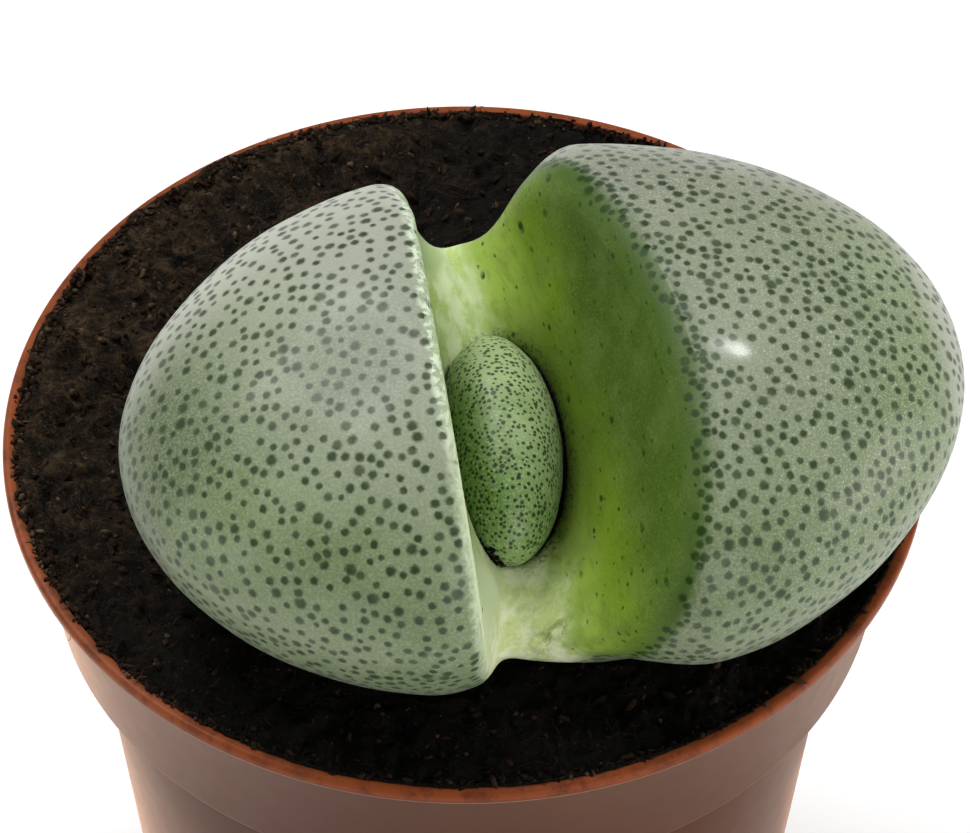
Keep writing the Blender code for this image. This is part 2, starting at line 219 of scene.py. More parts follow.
YOUNG_SPLIT = -3.9  # the fissure lies this far along the young pair from its middle
PIT_GAP = 0.1  # what the pit's half axes are longer than the young pair's
PIT_EDGE = 0.25  # rounding of its rim
PIT_SHIFT = np.array((0.05, 0.0, 0.0))


def left_face(points):
    """Distance beyond the left leaf's inner face, which swells a little towards its foot."""
    local = points @ LEFT_FACE
    bulge = np.exp(-(((local[:, 2] - LEFT_FOOT_MIDDLE) / LEFT_FOOT_REACH) ** 2))
    swell = LEFT_FOOT_BULGE * bulge * ease((local[:, 1] - LEFT_FOOT_NEAR_END) / LEFT_FOOT_RUN)
    return local[:, 0] - swell + LEFT_FACE_BACK


def right_face(points):
    """Distance beyond the right leaf's inner face, a broad shallow dish."""
    local = points @ RIGHT_FACE
    up = (local[:, 2] - RIGHT_FACE_MIDDLE) / RIGHT_FACE_REACH[0]
    along = local[:, 1] / RIGHT_FACE_REACH[1]
    dish = RIGHT_FACE_DISH * np.maximum(1 - up**2 - along**2, RIGHT_FACE_TURN_OVER)
    return dish - local[:, 0] + RIGHT_FACE_BACK


def base_field(points):
    """The saddle that joins the leaves: a long low egg, higher at the far end, rounded off at both ends."""
    centre = np.array(BASE_EGG[0])
    egg = egg_field((points - centre) @ turn_x(BASE_RISE) + centre, *BASE_EGG)
    return blend_max(egg, points[:, 1] - BASE_FAR_END, BASE_END_ROUND)


def near_notch(points):
    """Distance beyond the undercut slope that ends the base and the right leaf at their near end."""
    return (points - NEAR_NOTCH_PLACE) @ NEAR_NOTCH_WAY


def young_local(points):
    return (points - YOUNG_CENTRE) @ turn_z(YOUNG_TURN)


def young_egg(points, grown=0.0):
    semi = YOUNG_SEMI + grown
    return egg_field(young_local(points), (0, 0, 0), semi, semi[2], 0.0, 0.0, 1)


def fused_leaves(points):
    """The fused pair of leaves: two eggs cut by their inner faces, and the base that joins them."""
    uneven = 0.10 * noise(points, 7.0, 3) + 0.05 * noise(points, 3.1, 5)
    left_edge = 0.9 + 1.4 * ease((points[:, 1] - 9) / 4)
    left = blend_max(egg_field(points, *LEFT_EGG) + uneven, left_face(points), left_edge)
    right = blend_max(egg_field(points, *RIGHT_EGG) + uneven, right_face(points), 1.3)
    right = blend_max(right, near_notch(points), BASE_END_ROUND)
    base = blend_max(base_field(points), near_notch(points), BASE_END_ROUND)
    right = blend_min(right, base, 2.2 + 1.6 * ease((points[:, 1] - 6) / 6))
    return blend_min(left, right, 1.7)


def pit_field(points):
    return young_egg(points - PIT_SHIFT, PIT_GAP)


def leaf_pair(points):
    """The fused leaves with the pit that the young pair stands in."""
    return blend_max(fused_leaves(points), -pit_field(points), PIT_EDGE)


def skin_margin(points):
    """Above 0 where the skin is smooth inner face, below 0 where it is spotted rind.
    The inner face's skin turns over the edge, and runs out of sight at both ends of the right leaf."""
    across = points[:, 0]
    along = points[:, 1]
    left = left_face(points) - egg_field(points, *LEFT_EGG) - 0.35 + 0.1 * ease((along - 7) / 5)
    right = right_face(points) - egg_field(points, *RIGHT_EGG) + 0.2
    right += 1.7 * ease((along - 6) / 5) * ease((11.5 - across) / 4)
    right += 2.2 * ease((-8 - along) / 5) * ease((11 - across) / 5)
    return np.where(right_face(points) < left_face(points), right, left)


# ---- meshes from fields


def surface_net(field, low, high, cell):
    """The zero surface of a field as points and quads, one point in each grid cell that it crosses."""
    axes = [np.arange(start, end + cell, cell) for start, end in zip(low, high)]
    grid = np.stack(np.meshgrid(*axes, indexing="ij"), axis=-1)
    value = field(grid.reshape(-1, 3)).reshape(grid.shape[:3])
    cells = tuple(np.array(value.shape) - 1)
    total = np.zeros((*cells, 3))
    count = np.zeros(cells)
    crossings = []
    for axis in range(3):
        first = np.take(value, range(value.shape[axis] - 1), axis)
        second = np.take(value, range(1, value.shape[axis]), axis)
        found = np.argwhere((first < 0) != (second < 0))
        found = found[((found > 0) | (np.arange(3) == axis)).all(axis=1)]
        others = [other for other in range(3) if other != axis]
        found = found[(found[:, others] < np.array(cells)[others]).all(axis=1)]
        near = first[tuple(found.T)]
        far = second[tuple(found.T)]
        spot = grid[tuple(found.T)].copy()
        spot[:, axis] += cell * near / (near - far)
        around = []
        for shift in ((0, 0), (-1, 0), (-1, -1), (0, -1)):
            index = found.copy()
            index[:, (axis + 1) % 3] += shift[0]
            index[:, (axis + 2) % 3] += shift[1]
            around.append(np.ravel_multi_index(tuple(index.T), cells))
            np.add.at(total.reshape(-1, 3), around[-1], spot)
            np.add.at(count.reshape(-1), around[-1], 1)
        quads = np.stack(around, axis=-1)
        crossings.append(np.where((near < 0)[:, None], quads, quads[:, ::-1]))
    used = np.flatnonzero(count.reshape(-1))
    number = np.full(count.size, -1)
    number[used] = np.arange(len(used))
    points = total.reshape(-1, 3)[used] / count.reshape(-1)[used, None]
    return points, number[np.concatenate(crossings)]


def gradient(field, points, step=0.02):
    slopes = []
    for axis in range(3):
        shift = np.zeros(3)
        shift[axis] = step
        slopes.append((field(points + shift) - field(points - shift)) / (2 * step))
    return np.stack(slopes, axis=-1)


def settle(field, points, rounds):
    """Moves points onto the zero surface of the field."""
    for _ in range(rounds):
        slope = gradient(field, points)
        length = np.maximum((slope**2).sum(axis=-1), 0.05)
        points = points - (field(points) / length)[:, None] * slope
    return points


def relax(points, quads):
    """Moves each point half way to the mean of its neighbours."""
    ends = np.concatenate([quads, np.roll(quads, -1, axis=1)], axis=1).reshape(-1, 2, 4)
    first = ends[:, 0].reshape(-1)
    second = ends[:, 1].reshape(-1)
    number = np.bincount(first, minlength=len(points))
    number = number + np.bincount(second, minlength=len(points))
    mean = np.empty_like(points)
    for axis in range(3):
        mean[:, axis] = np.bincount(first, points[second, axis], len(points))
        mean[:, axis] += np.bincount(second, points[first, axis], len(points))
    return 0.5 * points + 0.5 * mean / number[:, None]


def skin(field, low, high, cell):
    """A fine, even mesh of the field's zero surface, as points and triangles."""
    points, quads = surface_net(field, low, high, cell)
    points = settle(field, points, 2)
    for _ in range(3):
        points = settle(field, relax(points, quads), 1)
    points = settle(field, points, 2)
    first = lengths(points[quads[:, 0]] - points[quads[:, 2]])
    second = lengths(points[quads[:, 1]] - points[quads[:, 3]])
    short = (first <= second)[:, None]
    one = np.where(short, quads[:, [0, 1, 2]], quads[:, [1, 2, 3]])
    two = np.where(short, quads[:, [0, 2, 3]], quads[:, [1, 3, 0]])
    return points, np.concatenate([one, two])


# ---- pieces


def add_object(name, data):
    made = bpy.data.objects.new(name, data)
    bpy.context.scene.collection.objects.link(made)
    return made


def mesh_piece(name, points, faces, finish, slot, *nodes):
    """A smooth mesh piece from points in millimetres, standing for these CAD nodes."""
    mesh = bpy.data.meshes.new(name)
    mesh.from_pydata(np.asarray(points) * MM, [], faces)
    mesh.update()
    mesh.shade_smooth()
    mesh.materials.append(finish)
    piece = add_object(name, mesh)
    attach(piece, "root")
    if nodes:
        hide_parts(*nodes)
    return piece


def keep(piece, name, kind, domain, values):
    """Stores values on the mesh for its material to read."""
    field = "vector" if kind == "FLOAT_VECTOR" else "value"
    layer = piece.data.attributes.new(name, kind, domain)
    layer.data.foreach_set(field, np.ascontiguousarray(values, dtype=np.float32).reshape(-1))


def unit(vectors):
    return vectors / np.maximum(lengths(vectors)[..., None], 1e-9)


DOT_LAYERS = 3  # each face knows this many of the nearest dots
DOT_REACH = 1.4  # and leaves out those further away than this
NO_DOT = (9.0, 0.0, 0.0)  # an offset far outside any dot


class Dots:
    """Dots scattered over a mesh, each with its place, radius, stretch and direction."""

    def __init__(self, points, faces, seed):
        self.points = points
        self.faces = faces
        corners = points[faces]
        self.middles = corners.mean(axis=1)
        cross = np.cross(corners[:, 1] - corners[:, 0], corners[:, 2] - corners[:, 0])
        self.areas = lengths(cross) / 2
        self.normals = unit(cross)
        self.random = np.random.default_rng(seed)
        self.dots = []

    def scatter(self, density, spacing, radius, spread, length=1.0, direction=(0, 1, 0)):
        """Tries dots at this density per square millimetre and keeps those with room round them.
        Density, spacing and radius may be one number or one for each face."""
        weight = self.areas * density
        radii = np.broadcast_to(radius, len(self.faces))
        wanted = int(weight.sum())
        picks = self.random.choice(len(self.faces), wanted, p=weight / weight.sum())
        shares = self.random.dirichlet((1, 1, 1), wanted)
        spots = (self.points[self.faces[picks]] * shares[:, :, None]).sum(axis=1)
        room = np.broadcast_to(spacing, len(self.faces))[picks] * self.random.uniform(0.7, 1.15, wanted)
        kept = np.array([dot[0] for dot in self.dots]).reshape(-1, 3)
        for spot, face, clear in zip(spots, picks, room):
            if len(kept) and ((kept - spot) ** 2).sum(axis=1).min() < clear**2:
                continue
            kept = np.vstack([kept, spot])
            size = radii[face] * self.random.lognormal(0, spread)
            stretch = length * self.random.uniform(0.8, 1.3) if length > 1 else 1.0
            along = np.array(direction, float)
            along = along - self.normals[face] * (along @ self.normals[face])
            self.dots.append((spot, size, stretch, along / max(np.linalg.norm(along), 1e-6)))

    def write(self, piece):
        """Stores, for each face corner, where it lies from each of the nearest dots, in dot radii."""
        places, sizes, stretches, directions = [np.array(column) for column in zip(*self.dots)]
        tree = KDTree(len(places))
        for index, place in enumerate(places):
            tree.insert(place, index)
        tree.balance()
        nearest = np.full((len(self.faces), DOT_LAYERS), -1)
        for row, middle in enumerate(self.middles):
            for layer, (_, index, distance) in enumerate(tree.find_n(middle, DOT_LAYERS)):
                if distance < DOT_REACH:
                    nearest[row, layer] = index
        corners = self.points[self.faces]
        for layer in range(DOT_LAYERS):
            index = nearest[:, layer]
            offset = corners - places[index][:, None, :]
            along = directions[index][:, None, :]
            run = (offset * along).sum(axis=-1, keepdims=True)
            offset = offset - along * run * (1 - 1 / stretches[index][:, None, None])
            offset = offset / sizes[index][:, None, None]
            offset[index < 0] = NO_DOT
            keep(piece, f"dot_{layer + 1}", "FLOAT_VECTOR", "CORNER", offset)


# ---- materials


def srgb(red, green, blue):
    """A colour as it is seen, 0 to 255, as the linear values that a shader takes."""
    shares = np.array((red, green, blue)) / 255
    linear = np.where(shares <= 0.04045, shares / 12.92, ((shares + 0.055) / 1.055) ** 2.4)
    return (*linear.tolist(), 1.0)


class Nodes:
    """Short ways to make the nodes of a material or of the world."""

    def __init__(self, tree):
        self.tree = tree

    def put(self, socket, value):
        """Links another node's output to the socket, or gives the socket a plain value."""
        if isinstance(value, bpy.types.NodeSocket):
            self.tree.links.new(value, socket)
        else:
            socket.default_value = value

    def make(self, kind, *values, **settings):
        """A node with these settings, and these values on its inputs in order."""
        made = self.tree.nodes.new(kind)
        for name, value in settings.items():
            setattr(made, name, value)
        for socket, value in zip(made.inputs, values):
            self.put(socket, value)
        return made

    def fill(self, node, **inputs):
        """Gives the node these values, by the names of its inputs."""
        for name, value in inputs.items():
            self.put(node.inputs[name.replace("_", " ")], value)
        return node

    def math(self, operation, first, *others):
        if not others:
            return first
        rest = self.math(operation, *others)
        return self.make("ShaderNodeMath", first, rest, operation=operation).outputs[0]

    def add(self, *values):
        return self.math("ADD", *values)

    def times(self, *values):
        return self.math("MULTIPLY", *values)

    def most(self, *values):
        return self.math("MAXIMUM", *values)

    def ramp(self, value, low, high, to_low=0.0, to_high=1.0, smooth=True):
        """Runs from to_low to to_high while the value runs from low to high, and stays level beyond."""
        given = (value, low, high, to_low, to_high)
        kind = "SMOOTHSTEP" if smooth else "LINEAR"
        return self.make("ShaderNodeMapRange", *given, interpolation_type=kind).outputs[0]

    def mix(self, share, first, second):
        made = self.make("ShaderNodeMix", share, data_type="RGBA")
        self.put(made.inputs[6], first)  # the two inputs and the output that hold colours
        self.put(made.inputs[7], second)
        return made.outputs[2]

    def over(self, colour, paint, *shares):
        """The colour with this paint laid over it, as strongly as the product of the shares."""
        return self.mix(self.times(*shares), colour, srgb(*paint))

    def attribute(self, name, output="Fac"):
        made = self.make("ShaderNodeAttribute", attribute_name=name)
        return made.outputs[output]

    def place(self):
        return self.make("ShaderNodeTexCoord").outputs["Object"]

    def scaled(self, vector, factors):
        return self.make("ShaderNodeVectorMath", vector, factors, operation="MULTIPLY").outputs[0]

    def length(self, vector):
        """A vector's length. A plain number counts on all three axes, which gives 1.73 times its size."""
        return self.make("ShaderNodeVectorMath", vector, operation="LENGTH").outputs["Value"]

    def parts(self, vector):
        return self.make("ShaderNodeSeparateXYZ", vector).outputs

    def noise(self, size, detail, roughness=0.5, vector=None, distortion=0.0):
        """Noise about 0.5 whose features are this many millimetres across."""
        made = self.make("ShaderNodeTexNoise")
        self.fill(made, Scale=1 / (size * MM), Detail=detail, Roughness=roughness, Distortion=distortion)
        return self.fill(made, Vector=vector or self.place()).outputs["Fac"]

    def spots(self, size, detail, *ramp, roughness=0.5, vector=None, distortion=0.0):
        """Patches of noise, from 0 to 1 unless the ramp says otherwise."""
        return self.ramp(self.noise(size, detail, roughness, vector, distortion), *ramp)

    def uneven(self, reach, *noise):
        """Noise about 0 that spans this reach."""
        return self.times(self.add(self.noise(*noise), -0.5), reach)

    def seen(self, paths):
        """1 for what the camera sees, straight or through a clear thing, and 0 for all other light."""
        return self.most(paths["Is Camera Ray"], paths["Is Transmission Ray"])

    def bump(self, height, distance):
        """A bump of this height in millimetres."""
        made = self.make("ShaderNodeBump")
        return self.fill(made, Height=height, Distance=distance * MM, Strength=1.0).outputs["Normal"]


class Finish(Nodes):
    """A material with a Principled surface."""

    def __init__(self, name):
        self.material = bpy.data.materials.new(name)
        self.material.use_nodes = True
        super().__init__(self.material.node_tree)
        self.shader = self.tree.nodes["Principled BSDF"]

    def set(self, **inputs):
        self.fill(self.shader, **inputs)


def dot_mask(f):
    """1 in the middle of a dot and 0 outside, with uneven soft edges, from the offsets on the mesh."""
    uneven = f.uneven(0.6, 0.2, 1.0)
    mask = None
    for layer in range(1, DOT_LAYERS + 1):
        reach = f.add(f.length(f.attribute(f"dot_{layer}", "Vector")), uneven)
        inside = f.ramp(reach, 1.3, 0.55)
        mask = inside if mask is None else f.most(mask, inside)
    return mask


def rind_colour(f, across, along, up):
    """Waxy grey-green rind with a fine pale grain, greener low down. Painted light makes it paler on top,
    lighter at the left leaf's far end and the right leaf's outer edge, and adds glints on the lit side;
    painted shade darkens it low down, at the left flank, in the middle of each leaf and at the right leaf's
    far end.
    """
    right = f.ramp(across, 2.0, 6.0)
    rind = f.mix(f.spots(6.5, 3.0, 0.35, 0.7), srgb(127, 142, 103), srgb(109, 127, 82))
    # painted light: paler on top, where the light from above falls
    rind = f.over(rind, (154, 158, 146), f.ramp(up, 9.0, 15.5, 0.0, 0.75))
    # darker and greener low down: partly the rind's own tone, partly painted shade
    low_share = f.add(0.5, f.times(right, 0.35))
    rind = f.over(rind, (100, 116, 80), f.ramp(up, 8.0, -2.0, 0.0, low_share))
    # painted shade on the left flank, the right leaf's far end and middle, and the middle of the left leaf
    left_flank = f.times(f.ramp(along, -7.0, -2.0), f.ramp(across, -10.0, -17.0, 0.0, 0.9))
    right_far = f.times(right, f.ramp(along, 3.0, 9.0, 0.0, 0.4))
    right_back = f.times(right, f.ramp(across, 28.0, 21.0, 0.0, 0.3))
    painted_shade = f.most(f.most(left_flank, right_far), right_back)
    middle_across = f.ramp(f.length(f.add(across, 6.5)), 9.0, 2.0)
    middle_along = f.ramp(f.length(f.add(along, 1.5)), 8.0, 2.0)
    left_middle = f.times(f.times(middle_across, middle_along), 0.62)
    rind = f.over(rind, (86, 100, 66), f.most(painted_shade, left_middle))
    # painted light: paler at the far end of the left leaf and along the right leaf's outer edge
    left_far = f.times(f.ramp(across, 1.0, -1.0), f.ramp(along, 1.0, 11.0, 0.0, 0.8))
    right_edge = f.ramp(across, 26.3, 28.3, 0.0, 0.6)
    rind = f.over(rind, (172, 174, 162), f.most(left_far, right_edge))
    rind = f.over(rind, (136, 130, 126), right, f.ramp(along, 2.0, 10.0, 0.0, 0.35))
    grain = f.spots(0.15, 2.0, 0.35, 0.8)
    rind = f.over(rind, (182, 186, 164), grain, 0.4)
    # painted glints: near-white specks on the lit side of the rind
    lit = f.most(f.ramp(across, 8.0, 22.0), f.times(right, f.ramp(along, 0.0, 8.0)))
    painted_glints = f.times(f.spots(0.09, 1.0, 0.6, 0.7), lit)
    return f.over(rind, (226, 226, 214), painted_glints, 0.5), grain


def inner_colour(f, across, along, up):
    """Inner faces: pale in the saddle, yellow-green at the foot of the right face, olive further up,
    partly painted light and shade; painted light makes the saddle's near end paler.
    """
    lift = f.add(up, f.times(along, -0.22))
    climb = f.add(f.times(across, 0.63), f.times(lift, 0.77))
    climb = f.add(climb, f.uneven(2.2, 3.0, 3.0))
    # lighter towards the foot and the ends, darker up the face: partly the face's own colour, partly painted
    # light and shade
    ends = f.ramp(f.length(along), 5.0, 12.0)
    reach = f.add(climb, f.times(ends, -1.5))
    green = f.mix(f.ramp(reach, 4.0, 7.5), srgb(152, 178, 76), srgb(106, 134, 32))
    green = f.over(green, (70, 96, 30), f.ramp(reach, 7.0, 12.0))
    green = f.over(green, (112, 128, 70), f.spots(2.4, 4.0, 0.42, 0.68, roughness=0.6), 0.35)
    fleck = f.spots(0.13, 2.0, 0.5, 0.72)
    green = f.over(green, (156, 176, 84), fleck, 0.22)
    drawn = f.scaled(f.attribute("local", "Vector"), (MM, 0.3 * MM, MM))
    streak = f.spots(0.8, 4.0, 0.38, 0.62, roughness=0.6, vector=drawn)
    green = f.over(green, (60, 86, 22), f.spots(0.5, 3.0, 0.45, 0.75, roughness=0.6, vector=drawn), 0.3)
    pale = f.mix(streak, srgb(186, 208, 124), srgb(222, 234, 188))
    pale = f.over(pale, (226, 234, 206), fleck, 0.4)
    near = f.ramp(along, -5.5, -8.0)
    # painted light: the saddle made paler towards its near end, with pale patches
    pale = f.over(pale, (222, 232, 170), near, 0.65)
    pale = f.over(pale, (246, 248, 220), near, f.spots(1.3, 5.0, 0.42, 0.6, roughness=0.65), 0.8)
    pale = f.over(pale, (150, 172, 84), near, f.spots(0.6, 4.0, 0.5, 0.7, 0.0, 0.3, roughness=0.7))
    edge = f.add(climb, f.times(near, f.uneven(3.5, 1.1, 5.0, 0.7)))
    return f.mix(f.ramp(edge, f.add(5.2, f.times(near, 1.0)), f.add(2.8, f.times(near, -0.6))), green, pale)


def shaded_face(f, face, margin, pit, across, along, up):
    """Paints shade on the right face where it turns over and round the pit, and makes the left wall pale."""
    # painted shade where the right face turns over at its edge
    turn_over = f.times(f.ramp(across, 3.0, 5.0), f.ramp(margin, 2.2, 0.4))
    face = f.over(face, (66, 90, 38), turn_over, 0.7)
    wall = f.mix(f.ramp(along, -5.0, -9.0), srgb(180, 200, 144), srgb(220, 232, 190))
    on_wall = f.times(f.ramp(across, 3.0, 2.0), f.ramp(margin, 6.0, 4.5), f.ramp(up, 0.3, 2.0))
    face = f.mix(on_wall, face, wall)
    # painted shade round the pit, strongest at its rim
    deep = f.times(f.ramp(pit, 3.6, 0.2), f.ramp(across, 3.5, 5.5))
    face = f.over(face, (42, 60, 14), deep, 0.6)
    return f.over(face, (32, 46, 14), f.ramp(pit, 1.0, 0.0), f.ramp(across, 1.5, 4.5, 0.0, 0.55))


def soiled_colour(f, colour, pit, across, along):
    """Dirt in and beside the pit, and a smear at the near end of the saddle."""
    dirt = f.times(f.ramp(pit, 1.1, 0.1), f.ramp(across, 1.0, 4.0), f.spots(0.22, 3.0, 0.52, 0.62))
    colour = f.over(colour, (34, 42, 18), dirt, 0.8)
    stain = f.ramp(f.add(pit, f.times(f.noise(0.5, 3.0), 0.6)), 0.5, 0.15)
    colour = f.over(colour, (26, 28, 14), stain)
    near_end = f.ramp(f.length(f.add(along, 12.2)), 1.7, 0.2)
    soiled = f.times(near_end, f.ramp(f.length(f.add(across, -2.5)), 3.0, 0.6))
    smear = f.spots(0.5, 5.0, 0.38, 0.66, roughness=0.7)
    shade = f.mix(f.spots(0.12, 1.0, 0.62, 0.7), srgb(84, 98, 42), srgb(196, 200, 150))
    return f.mix(f.times(soiled, smear, 0.7), colour, shade)


def leaf_finish(name, specular, sheen, coat):
    """The skin of the leaf pair; the rind and the inner faces differ only in how waxy they are."""
    f = Finish(name)
    margin = f.attribute("margin")
    pit = f.attribute("pit")
    across, along, up = f.parts(f.attribute("local", "Vector"))
    inner = f.ramp(f.add(margin, f.uneven(0.7, 0.55, 3.0)), -1.2, 0.4)
    rind, grain = rind_colour(f, across, along, up)
    face = shaded_face(f, inner_colour(f, across, along, up), margin, pit, across, along, up)
    # painted highlights: pale blotches on the bumps along the left leaf's ridge, whose bumps also raise the
    # surface
    at_edge = f.times(f.ramp(across, 3.0, 2.0), f.ramp(margin, -1.3, -0.7), f.ramp(margin, 0.5, 0.0))
    ridge = f.times(at_edge, f.ramp(along, -10.0, -4.0, 0.35, 1.0))
    bumps = f.spots(0.42, 3.0, 0.42, 0.58, 0.05, 0.95)
    base = f.over(f.mix(inner, rind, face), (214, 228, 202), ridge, bumps)
    mask = dot_mask(f)
    tone = f.spots(0.9, 1.0, 0.3, 0.7)
    rind_dot = f.mix(f.ramp(margin, -1.1, -0.2), srgb(46, 64, 34), srgb(34, 58, 18))
    faint = f.times(f.ramp(margin, 0.3, 1.2), f.spots(0.7, 1.0, 0.62, 0.42, 0.0, 0.55))
    shown = f.times(mask, f.add(f.ramp(tone, 0.0, 1.0, 0.82, 1.0), f.times(faint, -1.0)))
    colour = f.mix(shown, base, f.mix(inner, rind_dot, srgb(32, 58, 10)))
    height = f.add(f.times(f.noise(0.16, 2.0), 0.5), f.times(mask, -0.35))
    height = f.add(height, f.times(ridge, bumps, 2.0))
    f.set(
        Base_Color=soiled_colour(f, colour, pit, across, along),
        Roughness=f.ramp(grain, 0.0, 1.0, 0.4, 0.55),
        Normal=f.bump(height, 0.035),
        Sheen_Weight=sheen,
        Sheen_Roughness=0.35,
        Sheen_Tint=srgb(232, 230, 240),
        Specular_IOR_Level=specular,
        Coat_Weight=coat,
        Coat_Roughness=0.11,
        Subsurface_Weight=0.1,
        Subsurface_Radius=(0.9, 1.0, 0.3),
        Subsurface_Scale=1.0 * MM,
    )
    return f.material


def young_finish():
    """The young leaves: a fresher green, with many small dark dots, and painted light towards the far end."""
    f = Finish("young_skin")
    across, along, up = f.parts(f.attribute("local", "Vector"))
    # paler up and to the right; paler towards the far end with painted light from behind
    patches = f.add(f.times(f.add(across, up), 0.22), f.times(f.noise(2.2, 3.0), 0.9))
    patches = f.add(patches, f.ramp(along, -1.0, 6.0, -0.45, 1.4))
    base = f.mix(f.ramp(patches, 0.2, 1.8), srgb(92, 126, 54), srgb(160, 182, 124))
    base = f.over(base, (94, 138, 46), f.ramp(across, -0.8, -3.0, 0.0, 0.55))
    base = f.over(base, (160, 186, 122), f.ramp(along, -6.0, -8.2, 0.0, 0.4))
    base = f.over(base, (186, 204, 162), f.spots(0.14, 2.0, 0.45, 0.75), 0.5)
    mask = dot_mask(f)
    colour = f.over(base, (22, 48, 10), mask, 0.94)
    fissure = f.ramp(f.length(f.add(along, -YOUNG_SPLIT)), 0.16, 0.04)
    line = f.times(fissure, f.ramp(across, 0.0, -1.2))
    colour = f.over(colour, (132, 158, 88), line, 0.35)
    foot = f.add(f.times(along, -1.0), f.times(up, -0.55))
    stain = f.ramp(f.add(foot, f.times(f.noise(0.6, 3.0), 1.6)), 8.9, 9.8)
    height = f.add(f.times(f.noise(0.12, 2.0), 0.5), f.times(mask, -0.5))
    f.set(
        Base_Color=f.over(colour, (34, 30, 20), stain, 0.9),
        Roughness=0.4,
        Normal=f.bump(height, 0.04),
        Specular_IOR_Level=0.4,
        Sheen_Weight=0.03,
        Sheen_Roughness=0.4,
    )
    return f.material


def pot_finish():
    """Satin moulded plastic of terracotta colour, brighter at the thin lip, with a little dust."""
    f = Finish("terracotta_plastic")
    height = f.parts(f.place())[2]
    lip = f.ramp(height, (POT_HEIGHT - 0.8) * MM, (POT_HEIGHT - 0.35) * MM)
    colour = f.over(srgb(73, 36, 16), (106, 72, 53), f.spots(4.0, 4.0, 0.5, 0.85, roughness=0.6), 0.15)
    worn = f.spots(1.6, 5.0, 0.45, 0.65, roughness=0.7)
    f.set(
        Base_Color=f.mix(lip, colour, f.mix(worn, srgb(138, 70, 38), srgb(106, 54, 32))),
        Roughness=f.spots(1.5, 3.0, 0.3, 0.7, 0.28, 0.34),
        Specular_IOR_Level=0.07,
        Sheen_Weight=0.95,
        Sheen_Roughness=0.3,
        Sheen_Tint=srgb(255, 203, 170),
    )
    return f.material


def peat_finish():
    """Dark damp peat, near black to brown, matted with brown strands and brownest at the back left."""
    f = Finish("peat")
    across, along, up = f.parts(f.place())
    dry = f.ramp(f.add(f.times(along, 0.6), f.times(across, -1.2)), 4 * MM, 32 * MM)
    coarse = f.spots(2.0, 5.0, 0.4, 0.65, roughness=0.7)
    colour = f.mix(coarse, srgb(8, 8, 6), f.mix(dry, srgb(14, 12, 9), srgb(38, 31, 22)))
    patch = f.spots(0.9, 6.0, 0.5, 0.68, roughness=0.75, distortion=1.2)
    colour = f.over(colour, (90, 70, 48), patch, dry, 0.62)
    raised = f.times(dry, f.ramp(up, (POT_HEIGHT - 0.4) * MM, (POT_HEIGHT + 0.3) * MM))
    tan = f.spots(0.7, 5.0, 0.45, 0.62, 0.0, 0.48, roughness=0.7)
    colour = f.over(colour, (88, 69, 47), raised, tan)
    strands = f.spots(0.35, 5.0, 0.55, 0.68, roughness=0.7, distortion=3.0)
    colour = f.over(colour, (86, 70, 50), strands, f.ramp(dry, 0.0, 1.0, 0.25, 0.62))
    specks = f.spots(0.16, 2.0, 0.7, 0.78)
    f.set(
        Base_Color=f.over(colour, (108, 100, 88), specks, 0.8),
        Roughness=f.spots(0.5, 2.0, 0.3, 0.7, 0.7, 1.0),
        Normal=f.bump(f.noise(0.22, 5.0, 0.7), 0.18),
        Specular_IOR_Level=0.1,
    )
    return f.material


def crumb_finish(name):
    """Peat crumbs and fibres, each with a shade of its own."""
    f = Finish(name)
    shade = f.attribute("shade")
    dark = f.mix(f.ramp(shade, 0.0, 0.85, smooth=False), srgb(12, 10, 8), srgb(56, 38, 25))
    colour = f.over(dark, (82, 68, 52), f.ramp(shade, 0.9, 1.0, smooth=False))
    mottled = f.make("ShaderNodeVectorMath", colour, operation="SCALE")
    f.fill(mottled, Scale=f.spots(0.25, 3.0, 0.3, 0.7, 0.5, 1.2))
    f.set(
        Base_Color=mottled.outputs[0],
        Roughness=0.9,
        Normal=f.bump(f.noise(0.15, 3.0), 0.05),
        Specular_IOR_Level=0.12,
    )
    return f.material


def root_finish():
    """Corky brown skin, ringed and streaked."""
    f = Finish("root_cork")
    rings = f.noise(1.1, 4.0, 0.65)
    colour = f.mix(f.ramp(rings, 0.35, 0.7), srgb(92, 66, 44), srgb(164, 130, 92))
    f.set(Base_Color=colour, Roughness=0.85, Normal=f.bump(rings, 0.2))
    return f.material


# ---- the plant


LEAF_CELL = 0.3
LEAF_LOW = np.array((-20.5, -19.5, -11.0))
LEAF_HIGH = np.array((31.0, 19.5, 15.5))
FACE_MARGIN = -0.3  # the inner face's own material starts here
GLEAM = (15.65, -5.7, 1.5, 0.85)  # a place on the right leaf kept free of dots where the highlight falls: its middle and its half axes
YOUNG_CELL = 0.14
YOUNG_SEGMENTS = 160
YOUNG_SHARP = radians(50)


def snap_to_margin(points):
    """Moves points next to the inner face's margin onto it, so that the materials meet in a clean line."""
    slope = gradient(skin_margin, points)
    normals = unit(gradient(leaf_pair, points))
    slope -= normals * (slope * normals).sum(axis=-1, keepdims=True)
    steep = np.maximum((slope**2).sum(axis=-1), 0.05)
    away = (FACE_MARGIN - skin_margin(points)) / steep
    near = np.abs(away) * np.sqrt(steep) < 0.55 * LEAF_CELL
    points = points + np.where(near, away, 0)[:, None] * slope
    return settle(leaf_pair, points, 1)


